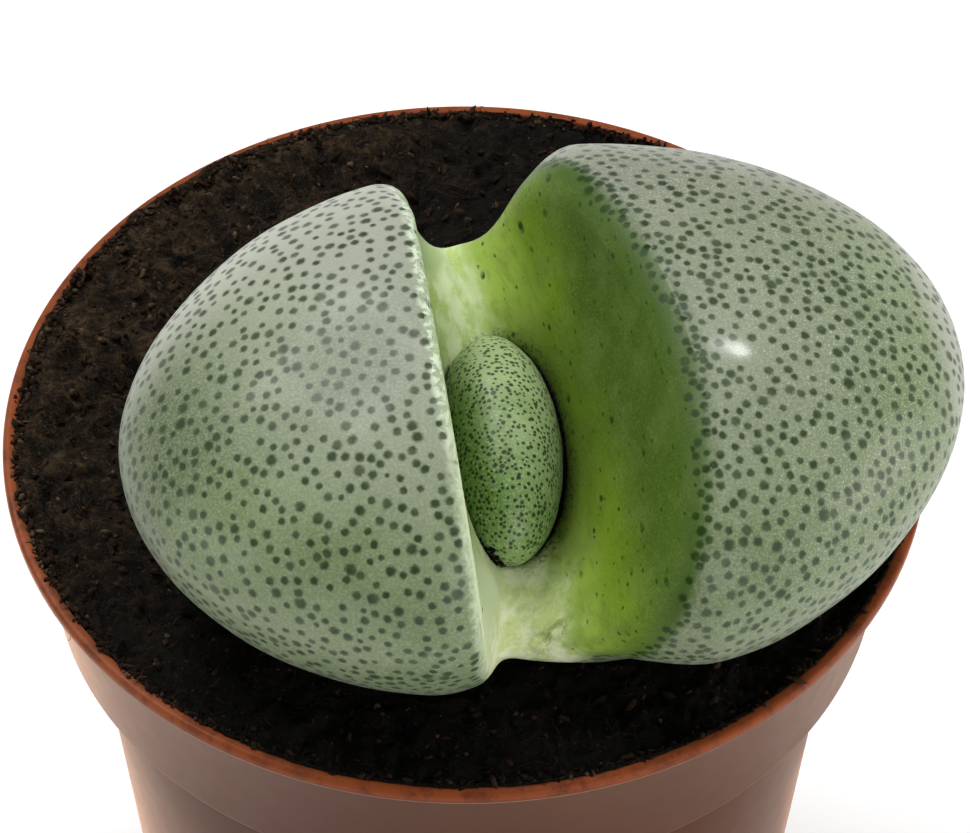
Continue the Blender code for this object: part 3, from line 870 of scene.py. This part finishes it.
def leaf_dots(points, faces, margin):
    """Dots on the rind, closer low down and beside the inner faces, and fine short streaks on the faces."""
    dots = Dots(points, faces, 7)
    across, along, up = points[faces].mean(axis=1).T
    near_margin = np.exp(-((margin + 0.3) ** 2) / (0.5 + 0.4 * ease((along - 4) / 5)))
    right = across > 2.0
    low = ease((5 - up) / 8)
    far_right = right * ease((along - 2) / 5)
    spacing = 0.79 - 0.27 * low - 0.05 * right + 0.1 * far_right
    spacing = spacing * (1 - np.where(right, 0.34, -0.1) * near_margin)
    # no dots where the highlight falls on the right leaf
    gleam = np.hypot((across - GLEAM[0]) / GLEAM[2], (along - GLEAM[1]) / GLEAM[3]) < 1
    rind = 7.0 * (margin < np.where(right, 0.4, -0.9)) * ~(gleam & (up > 5))
    dots.scatter(rind, spacing, 0.26 + 0.03 * far_right, 0.14)
    climb = 0.63 * across + 0.77 * (up - 0.22 * along)
    face = (margin > 0.2) * 0.85 * ease((climb - 3.2) / 3)
    dots.scatter(face, 0.45, 0.078, 0.4, length=1.6, direction=(0.2, 1.0, 0.0))
    return dots


def make_leaves():
    points, faces = skin(leaf_pair, LEAF_LOW, LEAF_HIGH, LEAF_CELL)
    points = snap_to_margin(points)
    waxy = leaf_finish("leaf_rind", 0.24, 0.13, 0.13)
    piece = mesh_piece("leaf_pair", to_world(points), faces, waxy, "leaf", "leaf_left", "leaf_right")
    margin = skin_margin(points)
    keep(piece, "local", "FLOAT_VECTOR", "POINT", points)
    keep(piece, "margin", "FLOAT", "POINT", margin)
    keep(piece, "pit", "FLOAT", "POINT", pit_field(points))
    face_margin = margin[faces].mean(axis=1)
    piece.data.materials.append(leaf_finish("leaf_inner_face", 0.12, 0.03, 0.0))
    piece.data.polygons.foreach_set("material_index", (face_margin > FACE_MARGIN).astype(np.int32))
    leaf_dots(points, faces, face_margin).write(piece)


def young_shell(side):
    """One young leaf: rings along the pair from the fissure to its tip, as points in the pair's frame."""
    start = np.arccos(YOUNG_SPLIT / YOUNG_SEMI[1])
    end = 0.0 if side > 0 else pi
    steps = int(abs(end - start) * YOUNG_SEMI[1] / YOUNG_CELL)
    turns = start + (end - start) * np.arange(steps) / steps
    around = np.arange(YOUNG_SEGMENTS) * tau / YOUNG_SEGMENTS
    rings = []
    for turn in turns:
        across = YOUNG_SEMI[0] * np.cos(around) * sin(turn)
        up = YOUNG_SEMI[2] * np.sin(around) * sin(turn)
        rings.append(np.stack([across, np.full_like(around, YOUNG_SEMI[1] * cos(turn)), up], axis=-1))
    shell = np.concatenate([*rings, [(0, YOUNG_SEMI[1] * side, 0)]])
    outward = unit(shell / YOUNG_SEMI**2)
    shell = shell + outward * (0.06 * noise(shell, 1.9, 11) + 0.03 * noise(shell, 0.8, 12) - 0.03)[:, None]
    lip = shell[:YOUNG_SEGMENTS] * (0.99, 1, 0.99)
    shell[:YOUNG_SEGMENTS, 1] = YOUNG_SPLIT + side * 0.01
    lip[:, 1] = YOUNG_SPLIT + side * 0.005
    points = np.concatenate([shell, lip, [(0, YOUNG_SPLIT + side * 0.005, 0)]])
    tip = len(shell) - 1
    first = tip + 1
    middle = first + YOUNG_SEGMENTS
    faces = []
    for i in range(YOUNG_SEGMENTS):
        j = (i + 1) % YOUNG_SEGMENTS
        faces.append((middle, first + j, first + i))
        faces += [(first + i, first + j, j), (first + i, j, i)]
        for k in range(steps - 1):
            a, b = k * YOUNG_SEGMENTS + i, k * YOUNG_SEGMENTS + j
            faces += [(a, b, b + YOUNG_SEGMENTS), (a, b + YOUNG_SEGMENTS, a + YOUNG_SEGMENTS)]
        a = (steps - 1) * YOUNG_SEGMENTS
        faces.append((a + i, a + j, tip))
    faces = np.array(faces)
    return points, faces if side < 0 else faces[:, ::-1]


def make_young():
    """The two young leaves; the fissure between them and their hidden undersides have few dots."""
    for name, side, seed in (("young_leaf_far", 1, 21), ("young_leaf_near", -1, 22)):
        local, faces = young_shell(side)
        points = local @ turn_z(YOUNG_TURN).T + YOUNG_CENTRE
        piece = mesh_piece(f"{name}_skin", to_world(points), faces, young_finish(), "young_leaf", name)
        piece.data.set_sharp_from_angle(angle=YOUNG_SHARP)
        keep(piece, "local", "FLOAT_VECTOR", "POINT", local)
        dots = Dots(points, faces, seed)
        seen = (dots.middles[:, 2] > -1) & (np.abs(dots.normals @ turn_z(YOUNG_TURN)[:, 1]) < 0.999)
        dots.scatter(np.where(seen, 14.0, 0.5), 0.25, 0.105, 0.22)
        dots.write(piece)


# ---- the pot, soil and root


def tube(first, rings, sides):
    """The quads of a tube whose corners are numbered ring by ring from the first."""
    index = first + np.arange(rings * sides).reshape(rings, sides)
    after = np.roll(index, -1, axis=1)
    return np.stack([index[:-1], after[:-1], after[1:], index[1:]], axis=-1).reshape(-1, 4).tolist()


def turned(profile, segments):
    """A solid of revolution about Z from (radius, height) points, the first and last of them on the axis."""
    angles = np.arange(segments) * tau / segments
    points = [np.array([(0, 0, profile[0][1])])]
    for radius, height in profile[1:-1]:
        level = np.full(segments, height)
        points.append(np.stack([radius * np.cos(angles), radius * np.sin(angles), level], axis=-1))
    points.append(np.array([(0, 0, profile[-1][1])]))
    rings = len(profile) - 2
    last = 1 + rings * segments
    foot = [(0, 1 + (i + 1) % segments, 1 + i) for i in range(segments)]
    top = [(last - segments + i, last - segments + (i + 1) % segments, last) for i in range(segments)]
    return np.concatenate(points), foot + tube(1, rings, segments) + top


def arc(centre, radius, start, end, steps):
    """Points of an arc in the section, from one angle to another in degrees."""
    angles = np.radians(np.linspace(start, end, steps))
    return [(centre[0] + radius * cos(a), centre[1] + radius * sin(a)) for a in angles]


def pot_section():
    """The pot's section from the middle of its underside, up the outside and down the inside."""
    top = POT_HEIGHT
    foot = top - COLLAR_DEPTH
    outside = [(0, HOLLOW_DEPTH), (HOLLOW_RADIUS, HOLLOW_DEPTH), (STAND_RING[0], 0.0), (STAND_RING[1], 0.0)]
    outside += arc((BASE_RADIUS - BASE_ROUND, BASE_ROUND), BASE_ROUND, -90, 0, 6)
    outside += [(BODY_TOP_RADIUS, foot - 0.8)]
    outside += arc((BODY_TOP_RADIUS + 0.5, foot - 0.7), 0.5, 180, 90, 4)
    outside += arc((COLLAR_FOOT_RADIUS - 0.2, foot + 0.2), 0.2, -90, 0, 5)
    outside += [(COLLAR_TOP_RADIUS, top - 2.4), (COLLAR_TOP_RADIUS + 0.35, top - 1.5)]
    outside += arc((LIP_RADIUS - 0.35, top - LIP_DEPTH + 0.35), 0.35, -70, 0, 5)
    outside += arc((LIP_RADIUS - LIP_ROUND, top - LIP_ROUND), LIP_ROUND, 0, 90, 5)
    inside = arc((LIP_RADIUS - LIP_WIDTH + 0.2, top - 0.2), 0.2, 90, 180, 4)
    inside += [
        (LIP_RADIUS - LIP_WIDTH - 0.1, top - 0.7),
        (COLLAR_TOP_RADIUS - WALL, top - 2.2),
        (COLLAR_FOOT_RADIUS - WALL, foot + 1.2),
        (BODY_TOP_RADIUS - WALL, foot + 0.4),
        (BASE_RADIUS - WALL, BASE_THICKNESS + BASE_ROUND),
        (BASE_RADIUS - WALL - BASE_ROUND, BASE_THICKNESS),
        (STAND_RING[1], BASE_THICKNESS),
        (STAND_RING[0], BASE_THICKNESS),
        (0, BASE_THICKNESS),
    ]
    return outside + inside


def make_pot():
    points, faces = turned(pot_section(), POT_SEGMENTS)
    piece = mesh_piece("pot_shell", points, faces, pot_finish(), "pot", "pot")
    bm = bmesh.new()
    for i in range(DRAIN_HOLES):
        angle = tau * (i + DRAIN_HOLE_TURN) / DRAIN_HOLES
        spot = Vector((DRAIN_HOLE_CIRCLE * cos(angle), DRAIN_HOLE_CIRCLE * sin(angle), 0)) * MM
        bmesh.ops.create_cone(
            bm,
            cap_ends=True,
            segments=DRAIN_HOLE_SEGMENTS,
            radius1=DRAIN_HOLE_RADIUS * MM,
            radius2=DRAIN_HOLE_RADIUS * MM,
            depth=8 * BASE_THICKNESS * MM,
            matrix=Matrix.Translation(spot),
        )
    mesh = bpy.data.meshes.new("drain_holes")
    bm.to_mesh(mesh)
    bm.free()
    cutter = add_object("drain_holes", mesh)
    modifier = piece.modifiers.new("drain holes", "BOOLEAN")
    modifier.operation = "DIFFERENCE"
    modifier.object = cutter
    bpy.context.view_layer.objects.active = piece
    piece.select_set(True)
    bpy.ops.object.modifier_apply(modifier=modifier.name)
    bpy.data.objects.remove(cutter, do_unlink=True)
    piece.data.set_sharp_from_angle(angle=POT_SHARP)


SOIL_LEVEL = POT_HEIGHT - 0.5
SOIL_MOUND = -0.4
SOIL_LUMP = 0.3
SOIL_MATTING = 0.78  # about what the layers of matting add, taken off again
SOIL_RADIUS = LIP_RADIUS - LIP_WIDTH - 0.03
SOIL_CELLS = 250
BANK_TURN = radians(138)  # the heap at the back left
BARE_TURN = radians(-148)  # here the peat stays low
CLEAR = WALL + 0.25  # the peat keeps this far inside the pot's outside


def fibrous(spots, size, seed):
    """Ridged noise that is bent out of line, from 0 to 1, like matted peat."""
    bend = np.stack([noise(spots, size * 1.7, seed), noise(spots, size * 1.7, seed + 1)], axis=-1)
    return 1 - np.abs(noise(spots + bend * size * 0.9, size, seed + 2))


def hump(angle, middle, spread):
    """1 at one angle round the pot and falling to 0 beside it, over a spread in degrees."""
    away = (np.degrees(angle) - middle + 180) % 360 - 180
    return np.exp(-((away / spread) ** 2))


def soil_height(spots):
    """The peat's surface: almost level with the lip, matted and lumpy, and heaped at the back left."""
    reach = lengths(spots) / LIP_RADIUS
    angle = np.arctan2(spots[:, 1], spots[:, 0])
    lumps = np.sin(3 * angle + 7 * reach) + 0.6 * np.sin(5 * angle - 9 * reach + 1.3)
    bank = 0.5 * reach**2 * np.maximum(0, np.cos(angle - BANK_TURN))
    bank -= 0.5 * reach**8 * ease(1 - np.abs(angle - BARE_TURN) / 0.5)
    height = SOIL_LEVEL + SOIL_MOUND * (1 - reach**2) + SOIL_LUMP * lumps * reach * (1 - reach) + bank
    height += 0.35 * noise(spots, 3.4, 31) + 0.55 * fibrous(spots, 1.9, 34) + 0.38 * fibrous(spots, 0.9, 38)
    height += 0.26 * fibrous(spots, 0.45, 42) + 0.3 * granules(spots, 1.3, 46)
    edge = POT_HEIGHT + 0.8 + 0.25 * hump(angle, 130, 20)
    return np.where(reach > 0.93, np.minimum(height, edge), height) - SOIL_MATTING


def round_way(angle):
    return np.stack([np.cos(angle), np.sin(angle)], axis=-1)


def spill(angle):
    """How far the peat lies out over the lip: most at the back left, little at the right, in ragged lobes."""
    ring = round_way(angle) * LIP_RADIUS
    reach = 0.02 + 0.34 * hump(angle, 129, 15) + 0.2 * hump(angle, 165, 7)
    bare = ease(1 - np.abs(angle - BARE_TURN) / 0.6)
    reach += 0.1 * np.maximum(0, np.cos(angle + radians(80))) - 0.5 * bare
    lobes = (0.05 + 0.12 * hump(angle, 135, 28)) * noise(ring, 1.6, 51)
    reach += 0.1 * hump(angle, 250, 50) + lobes + 0.07 * noise(ring, 0.55, 52)
    return np.clip(reach, 0, 0.6)


def square_to_disc(u, v):
    """Maps a square onto the unit disc and keeps the cells even."""
    wide = np.abs(u) >= np.abs(v)
    radius = np.where(wide, u, v)
    safe_u = np.where(u == 0, 1, u)
    safe_v = np.where(v == 0, 1, v)
    angle = np.where(wide, pi / 4 * v / safe_u, pi / 2 - pi / 4 * u / safe_v)
    angle = np.where((u == 0) & (v == 0), 0, angle)
    return radius * np.cos(angle), radius * np.sin(angle)


def make_soil_bed():
    """The peat as one closed body: a fine grid on top, and walls that follow the inside of the pot."""
    line = np.linspace(-1, 1, SOIL_CELLS + 1)
    u, v = np.meshgrid(line, line, indexing="ij")
    x, y = square_to_disc(u, v)
    disc = np.stack([x, y], axis=-1).reshape(-1, 2)
    over = spill(np.arctan2(disc[:, 1], disc[:, 0]))
    outer = ease((lengths(disc) - 0.9) / 0.1)
    spots = disc * (SOIL_RADIUS + over * outer)[:, None]
    height = soil_height(spots)
    resting = lengths(spots) > SOIL_RADIUS - 0.1
    height = np.where(resting & (over > 0.02), np.maximum(height, POT_HEIGHT + 0.07), height)
    points = np.column_stack([spots, height])
    index = np.arange(len(points)).reshape(SOIL_CELLS + 1, SOIL_CELLS + 1)
    quads = np.stack([index[:-1, :-1], index[1:, :-1], index[1:, 1:], index[:-1, 1:]], axis=-1).reshape(-1, 4)
    loop = np.concatenate([index[:-1, 0], index[-1, :-1], index[:0:-1, -1], index[0, :0:-1]])
    faces = quads.tolist()
    foot = POT_HEIGHT - COLLAR_DEPTH
    wall = (
        (SOIL_RADIUS - 0.12, POT_HEIGHT - 0.75),
        (COLLAR_TOP_RADIUS - CLEAR, POT_HEIGHT - 2.4),
        (COLLAR_FOOT_RADIUS - CLEAR, foot + 1.7),
        (BODY_TOP_RADIUS - CLEAR, foot + 0.6),
        (BASE_RADIUS - CLEAR - 0.2, BASE_THICKNESS + 1.2),
        (BASE_RADIUS - CLEAR - 1.0, BASE_THICKNESS + 0.3),
    )
    directions = points[loop, :2] / lengths(points[loop, :2])[:, None]
    rings = [points]
    upper = loop
    total = len(points)
    under = np.minimum(points[loop, 2] - 0.02, POT_HEIGHT + 0.03)
    for radius, height in ((SOIL_RADIUS - 0.03, under), *wall):
        rings.append(np.column_stack([directions * radius, np.broadcast_to(height, len(loop))]))
        lower = total + np.arange(len(loop))
        total += len(loop)
        faces += np.stack([upper, lower, np.roll(lower, -1), np.roll(upper, -1)], axis=-1).tolist()
        upper = lower
    rings.append(np.array([(0, 0, wall[-1][1])]))
    faces += [(a, total, b) for a, b in zip(upper.tolist(), np.roll(upper, -1).tolist())]
    mesh_piece("peat_bed", np.concatenate(rings), faces, peat_finish(), "soil", "soil")


CRUMBS = 2600  # places tried on the soil, of which the leaves cover some
PIT_CRUMBS = 500  # at most: the gap has room for fewer
LIP_CRUMBS = 2600
FIBRES = 4200  # places tried, like the crumbs
FIBRE_SIDES = 3
FIBRE_STEPS = 7


def open_soil(random, count, reach):
    """Random places on the soil that no leaf covers."""
    found = []
    while len(found) < count:
        spot = random.uniform(-reach, reach, 2)
        if np.hypot(*spot) < reach:
            found.append(spot)
    spots = np.array(found)
    places = np.column_stack([spots, soil_height(spots)])
    above = leaf_pair(to_plant(places + np.array((0, 0, 0.4))))
    return places[above > 0.25]


def lip_edge(random, count):
    """Random places where the soil meets the lip, some of them up on the lip."""
    angle = random.uniform(-pi, pi, count)
    radius = np.minimum(SOIL_RADIUS - 0.16 + random.normal(0, 0.17, count), SOIL_RADIUS + 0.3)
    spots = round_way(angle) * radius[:, None]
    height = np.maximum(soil_height(spots), POT_HEIGHT - 0.3)
    height = np.where(radius > SOIL_RADIUS, POT_HEIGHT + 0.02, height)
    return np.column_stack([spots, height])


def pit_rim(random, count):
    """Random places in the gap round the young pair, just under its rim, at the right and near the foot."""
    way = unit(random.normal(size=(40 * count, 3)))
    spots = YOUNG_CENTRE + PIT_SHIFT + way * (YOUNG_SEMI + 0.05) @ turn_z(YOUNG_TURN).T
    depth = fused_leaves(spots)
    right = (way[:, 0] > 0.2) & (random.uniform(size=len(way)) < 0.9 - way[:, 1])
    foot = way[:, 1] < -0.85
    top = np.where((way[:, 1] < -0.93) & (random.uniform(size=len(way)) < 0.4), 0.5, 0.02)
    near_rim = (way[:, 2] > -0.4) & (depth > -0.3) & (depth < top)
    return to_world(spots[(foot | right) & near_rim][:count])


def crumb_ball(detail):
    """Corners and faces of the ball that a crumb is made from: more detail gives more faces."""
    ball = bmesh.new()
    bmesh.ops.create_icosphere(ball, subdivisions=detail, radius=1.0)
    corners = np.array([vert.co[:] for vert in ball.verts])
    faces = np.array([[vert.index for vert in face.verts] for face in ball.faces])
    ball.free()
    return corners, faces


def make_crumbs():
    """Loose crumbs and chips of peat, on the bed, along the lip and in the gap round the young pair."""
    random = np.random.default_rng(61)
    groups = {  # places, detail and size of each piece's crumbs
        "peat_crumbs": (open_soil(random, CRUMBS, SOIL_RADIUS - 0.1), 2, 1.0),
        "lip_crumbs": (lip_edge(random, LIP_CRUMBS), 1, 1.0),
        "pit_crumbs": (pit_rim(random, PIT_CRUMBS), 2, 0.62),
    }
    finish = crumb_finish("peat_crumb")
    number = 0
    for name, (places, detail, scale) in groups.items():
        corners, corner_faces = crumb_ball(detail)
        points = []
        faces = []
        shades = []
        for place in places:
            size = scale * min(0.24, 0.12 * random.lognormal(0, 0.45))
            stretch = random.uniform(0.5, 1.0, 3) * np.array((1, 1, random.uniform(1.0, 3.0)))
            turn = np.array(Euler(random.uniform(0, tau, 3).tolist()).to_matrix())
            rough = 1 + 0.6 * noise(corners * 1.3 + 50 * number, 0.7, 62)[:, None]
            faces.append(corner_faces + len(points) * len(corners))
            points.append(corners * rough * stretch * size @ turn.T + place + np.array((0, 0, 0.2 * size)))
            brown = 0.3 * max(0.0, -1.2 * place[0] + 0.6 * place[1]) / LIP_RADIUS
            shade = min(1.0, random.uniform(0, 1) ** 2 + brown)
            if name == "pit_crumbs":
                shade = 0.15 * shade if random.uniform() < 0.97 else 1.0
            shades.append(np.full(len(corners), shade))
            number += 1
        piece = mesh_piece(name, np.concatenate(points), np.concatenate(faces), finish, "soil")
        keep(piece, "shade", "FLOAT", "POINT", np.concatenate(shades))


def fibre_path(random, place):
    """A wandering line that starts at this place and stays close to the soil, and its thickness."""
    length = 0.4 + random.exponential(0.7)
    thick = random.uniform(0.015, 0.06)
    heading = random.uniform(0, tau)
    climb = random.uniform(-0.1, 0.6)
    path = [place]
    for _ in range(FIBRE_STEPS):
        heading += random.normal(0, 0.45)
        climb += random.normal(-0.08, 0.3)
        step = np.array((cos(heading) * cos(climb), sin(heading) * cos(climb), sin(climb)))
        path.append(path[-1] + step * length / FIBRE_STEPS)
    path = np.array(path)
    path[:, 2] = np.minimum(path[:, 2], place[2] + 0.45)
    path[:, :2] *= np.minimum(1, (SOIL_RADIUS + 0.2) / np.hypot(path[:, 0], path[:, 1]))[:, None]
    return path, thick


def fibre_points(path, thick):
    """Rings of corners round the path, thinner towards its end."""
    ahead = unit(np.gradient(path, axis=0))
    across = unit(np.cross(ahead, (0.13, 0.21, 0.97)))
    over = np.cross(across, ahead)
    angles = np.arange(FIBRE_SIDES) * tau / FIBRE_SIDES
    width = thick * np.linspace(1.0, 0.35, FIBRE_STEPS + 1)[:, None, None]
    ring = np.cos(angles)[None, :, None] * across[:, None] + np.sin(angles)[None, :, None] * over[:, None]
    return (path[:, None] + ring * width).reshape(-1, 3)


def fibre_faces(base):
    """The sides and both ends of a fibre whose corners are numbered from here."""
    start = [base + i for i in reversed(range(FIBRE_SIDES))]
    end = [base + FIBRE_STEPS * FIBRE_SIDES + i for i in range(FIBRE_SIDES)]
    return [*tube(base, FIBRE_STEPS + 1, FIBRE_SIDES), start, end]


def make_fibres():
    """Fine root hairs and moss fibres that lie matted on the peat and stand a little out of it."""
    random = np.random.default_rng(71)
    corners = (FIBRE_STEPS + 1) * FIBRE_SIDES
    points = []
    faces = []
    shades = []
    for place in open_soil(random, FIBRES, SOIL_RADIUS - 0.1):
        faces += fibre_faces(len(points) * corners)
        points.append(fibre_points(*fibre_path(random, place)))
        brown = 0.55 + 0.45 * np.clip((0.6 * place[1] - 1.2 * place[0]) / 20, 0, 1)
        shades.append(np.full(corners, brown * random.uniform(0.2, 0.98) ** 1.3))
    piece = mesh_piece("peat_fibres", np.concatenate(points), faces, crumb_finish("fibre"), "soil")
    keep(piece, "shade", "FLOAT", "POINT", np.concatenate(shades))


ROOT_RINGS = 80
ROOT_SEGMENTS = 96
ROOT_TIP = 0.6


def make_root():
    """The short stem and tapered root, sized from their CAD box."""
    low, high = [np.array(corner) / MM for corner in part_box("taproot")]
    middle = (low + high) / 2
    radius = (high[0] - low[0]) / 2
    length = high[2] - low[2]
    profile = [(0, -length)]
    for k in range(ROOT_RINGS + 1):
        share = 1 - k / ROOT_RINGS
        thick = ROOT_TIP + (radius - ROOT_TIP) * (1 - share) ** 1.4
        profile.append((thick, -length * share))
    profile.append((0, 0))
    points, faces = turned(profile, ROOT_SEGMENTS)
    ridges = 1 + 0.05 * noise(points * np.array((1, 1, 3.0)), 1.2, 81) - 0.05
    points[:, :2] *= ridges[:, None]
    points += np.array((middle[0], middle[1], high[2]))
    mesh_piece("taproot_bark", points, faces, root_finish(), "root", "taproot")


# ---- stage


FLOOR_SIZE = 3.0  # metres
FLOOR_WHITE = 0.82
FLOOR_GLOW = (0.08, 0.6, 0.3, 0.9)  # from one distance in metres to another, the glow goes from low to high
GLOSSY_SHARE = 0.75  # of the glow that shows in reflections


def make_floor():
    """A matt white floor that glows where the camera sees it, less near the pot so that its shadow shows."""
    f = Finish("white_floor")
    f.tree.nodes.remove(f.shader)
    paths = f.make("ShaderNodeLightPath").outputs
    seen = f.most(f.seen(paths), f.times(paths["Is Glossy Ray"], GLOSSY_SHARE))
    matt = f.fill(f.make("ShaderNodeBsdfDiffuse"), Color=(FLOOR_WHITE, FLOOR_WHITE, FLOOR_WHITE, 1.0))
    level = f.ramp(f.length(f.place()), *FLOOR_GLOW)
    glow = f.fill(f.make("ShaderNodeEmission"), Strength=f.times(seen, level))
    both = f.make("ShaderNodeAddShader", matt.outputs[0], glow.outputs[0])
    f.fill(f.tree.nodes["Material Output"], Surface=both.outputs[0])
    bpy.ops.mesh.primitive_plane_add(size=FLOOR_SIZE)
    floor = bpy.context.object
    floor.name = "floor"
    floor.data.materials.append(f.material)


LAMPS = (  # name, degrees from the back towards the right, degrees up, distance and size in metres, watts
    ("softbox", -45, 57, 0.5, 0.30, 2.3),
    ("low_softbox", 152, 16, 0.5, 0.30, 1.0),
    ("side_softbox", 96, 11, 0.5, 0.25, 1.05),
    ("left_softbox", -112, 3, 0.5, 0.25, 0.55),
    ("small_softbox", 42.6, 57.4, 0.45, 0.025, 0.3),
)
ROOM_LIGHT = 0.15


def area_lamp(name, azimuth, elevation, distance, size, energy):
    """A square soft light, aimed at the middle of the pot's mouth."""
    lamp = bpy.data.lights.new(name, "AREA")
    lamp.size = size
    lamp.energy = energy
    box = add_object(name, lamp)
    target = Vector((0, 0, POT_HEIGHT * MM))
    flat = cos(radians(elevation))
    way = Vector((sin(radians(azimuth)) * flat, cos(radians(azimuth)) * flat, sin(radians(elevation))))
    box.location = target + way * distance
    box.rotation_euler = way.to_track_quat("Z", "Y").to_euler()


def make_light():
    """The softboxes in a dim white room, which the camera sees as white."""
    world = bpy.data.worlds.new("studio")
    world.use_nodes = True
    bpy.context.scene.world = world
    f = Nodes(world.node_tree)
    paths = f.make("ShaderNodeLightPath").outputs
    level = f.ramp(f.seen(paths), 0.0, 1.0, ROOM_LIGHT, 1.0, smooth=False)
    f.fill(f.tree.nodes["Background"], Color=(1, 1, 1, 1), Strength=level)
    for lamp in LAMPS:
        area_lamp(*lamp)


CAMERA_DISTANCE = 297.82  # from the middle of the pot's mouth
CAMERA_ELEVATION = radians(48.316)
CAMERA_LENS = 185.57
CAMERA_SENSOR = 36
CAMERA_TRIM = (("Y", -0.228), ("X", 0.145), ("Z", 0.241))  # small turns in degrees


def make_camera():
    """A long lens that looks down on the pot at about 48 degrees."""
    data = bpy.data.cameras.new("camera")
    data.sensor_width = CAMERA_SENSOR
    data.lens = CAMERA_LENS
    data.clip_start = 0.01
    camera = add_object("camera", data)
    first, second, third = [Matrix.Rotation(radians(angle), 4, axis) for axis, angle in CAMERA_TRIM]
    aim = Matrix.Rotation(radians(90) - CAMERA_ELEVATION, 4, "X")
    distance = CAMERA_DISTANCE * MM
    rise = POT_HEIGHT * MM + distance * sin(CAMERA_ELEVATION)
    place = Vector((0, -distance * cos(CAMERA_ELEVATION), rise))
    camera.matrix_world = Matrix.Translation(place) @ aim @ (first @ second @ third)
    bpy.context.scene.camera = camera


make_camera()
make_light()
make_floor()
make_pot()
make_soil_bed()
make_crumbs()
make_fibres()
make_leaves()
make_young()
make_root()
bpy.context.scene.view_settings.view_transform = "Standard"
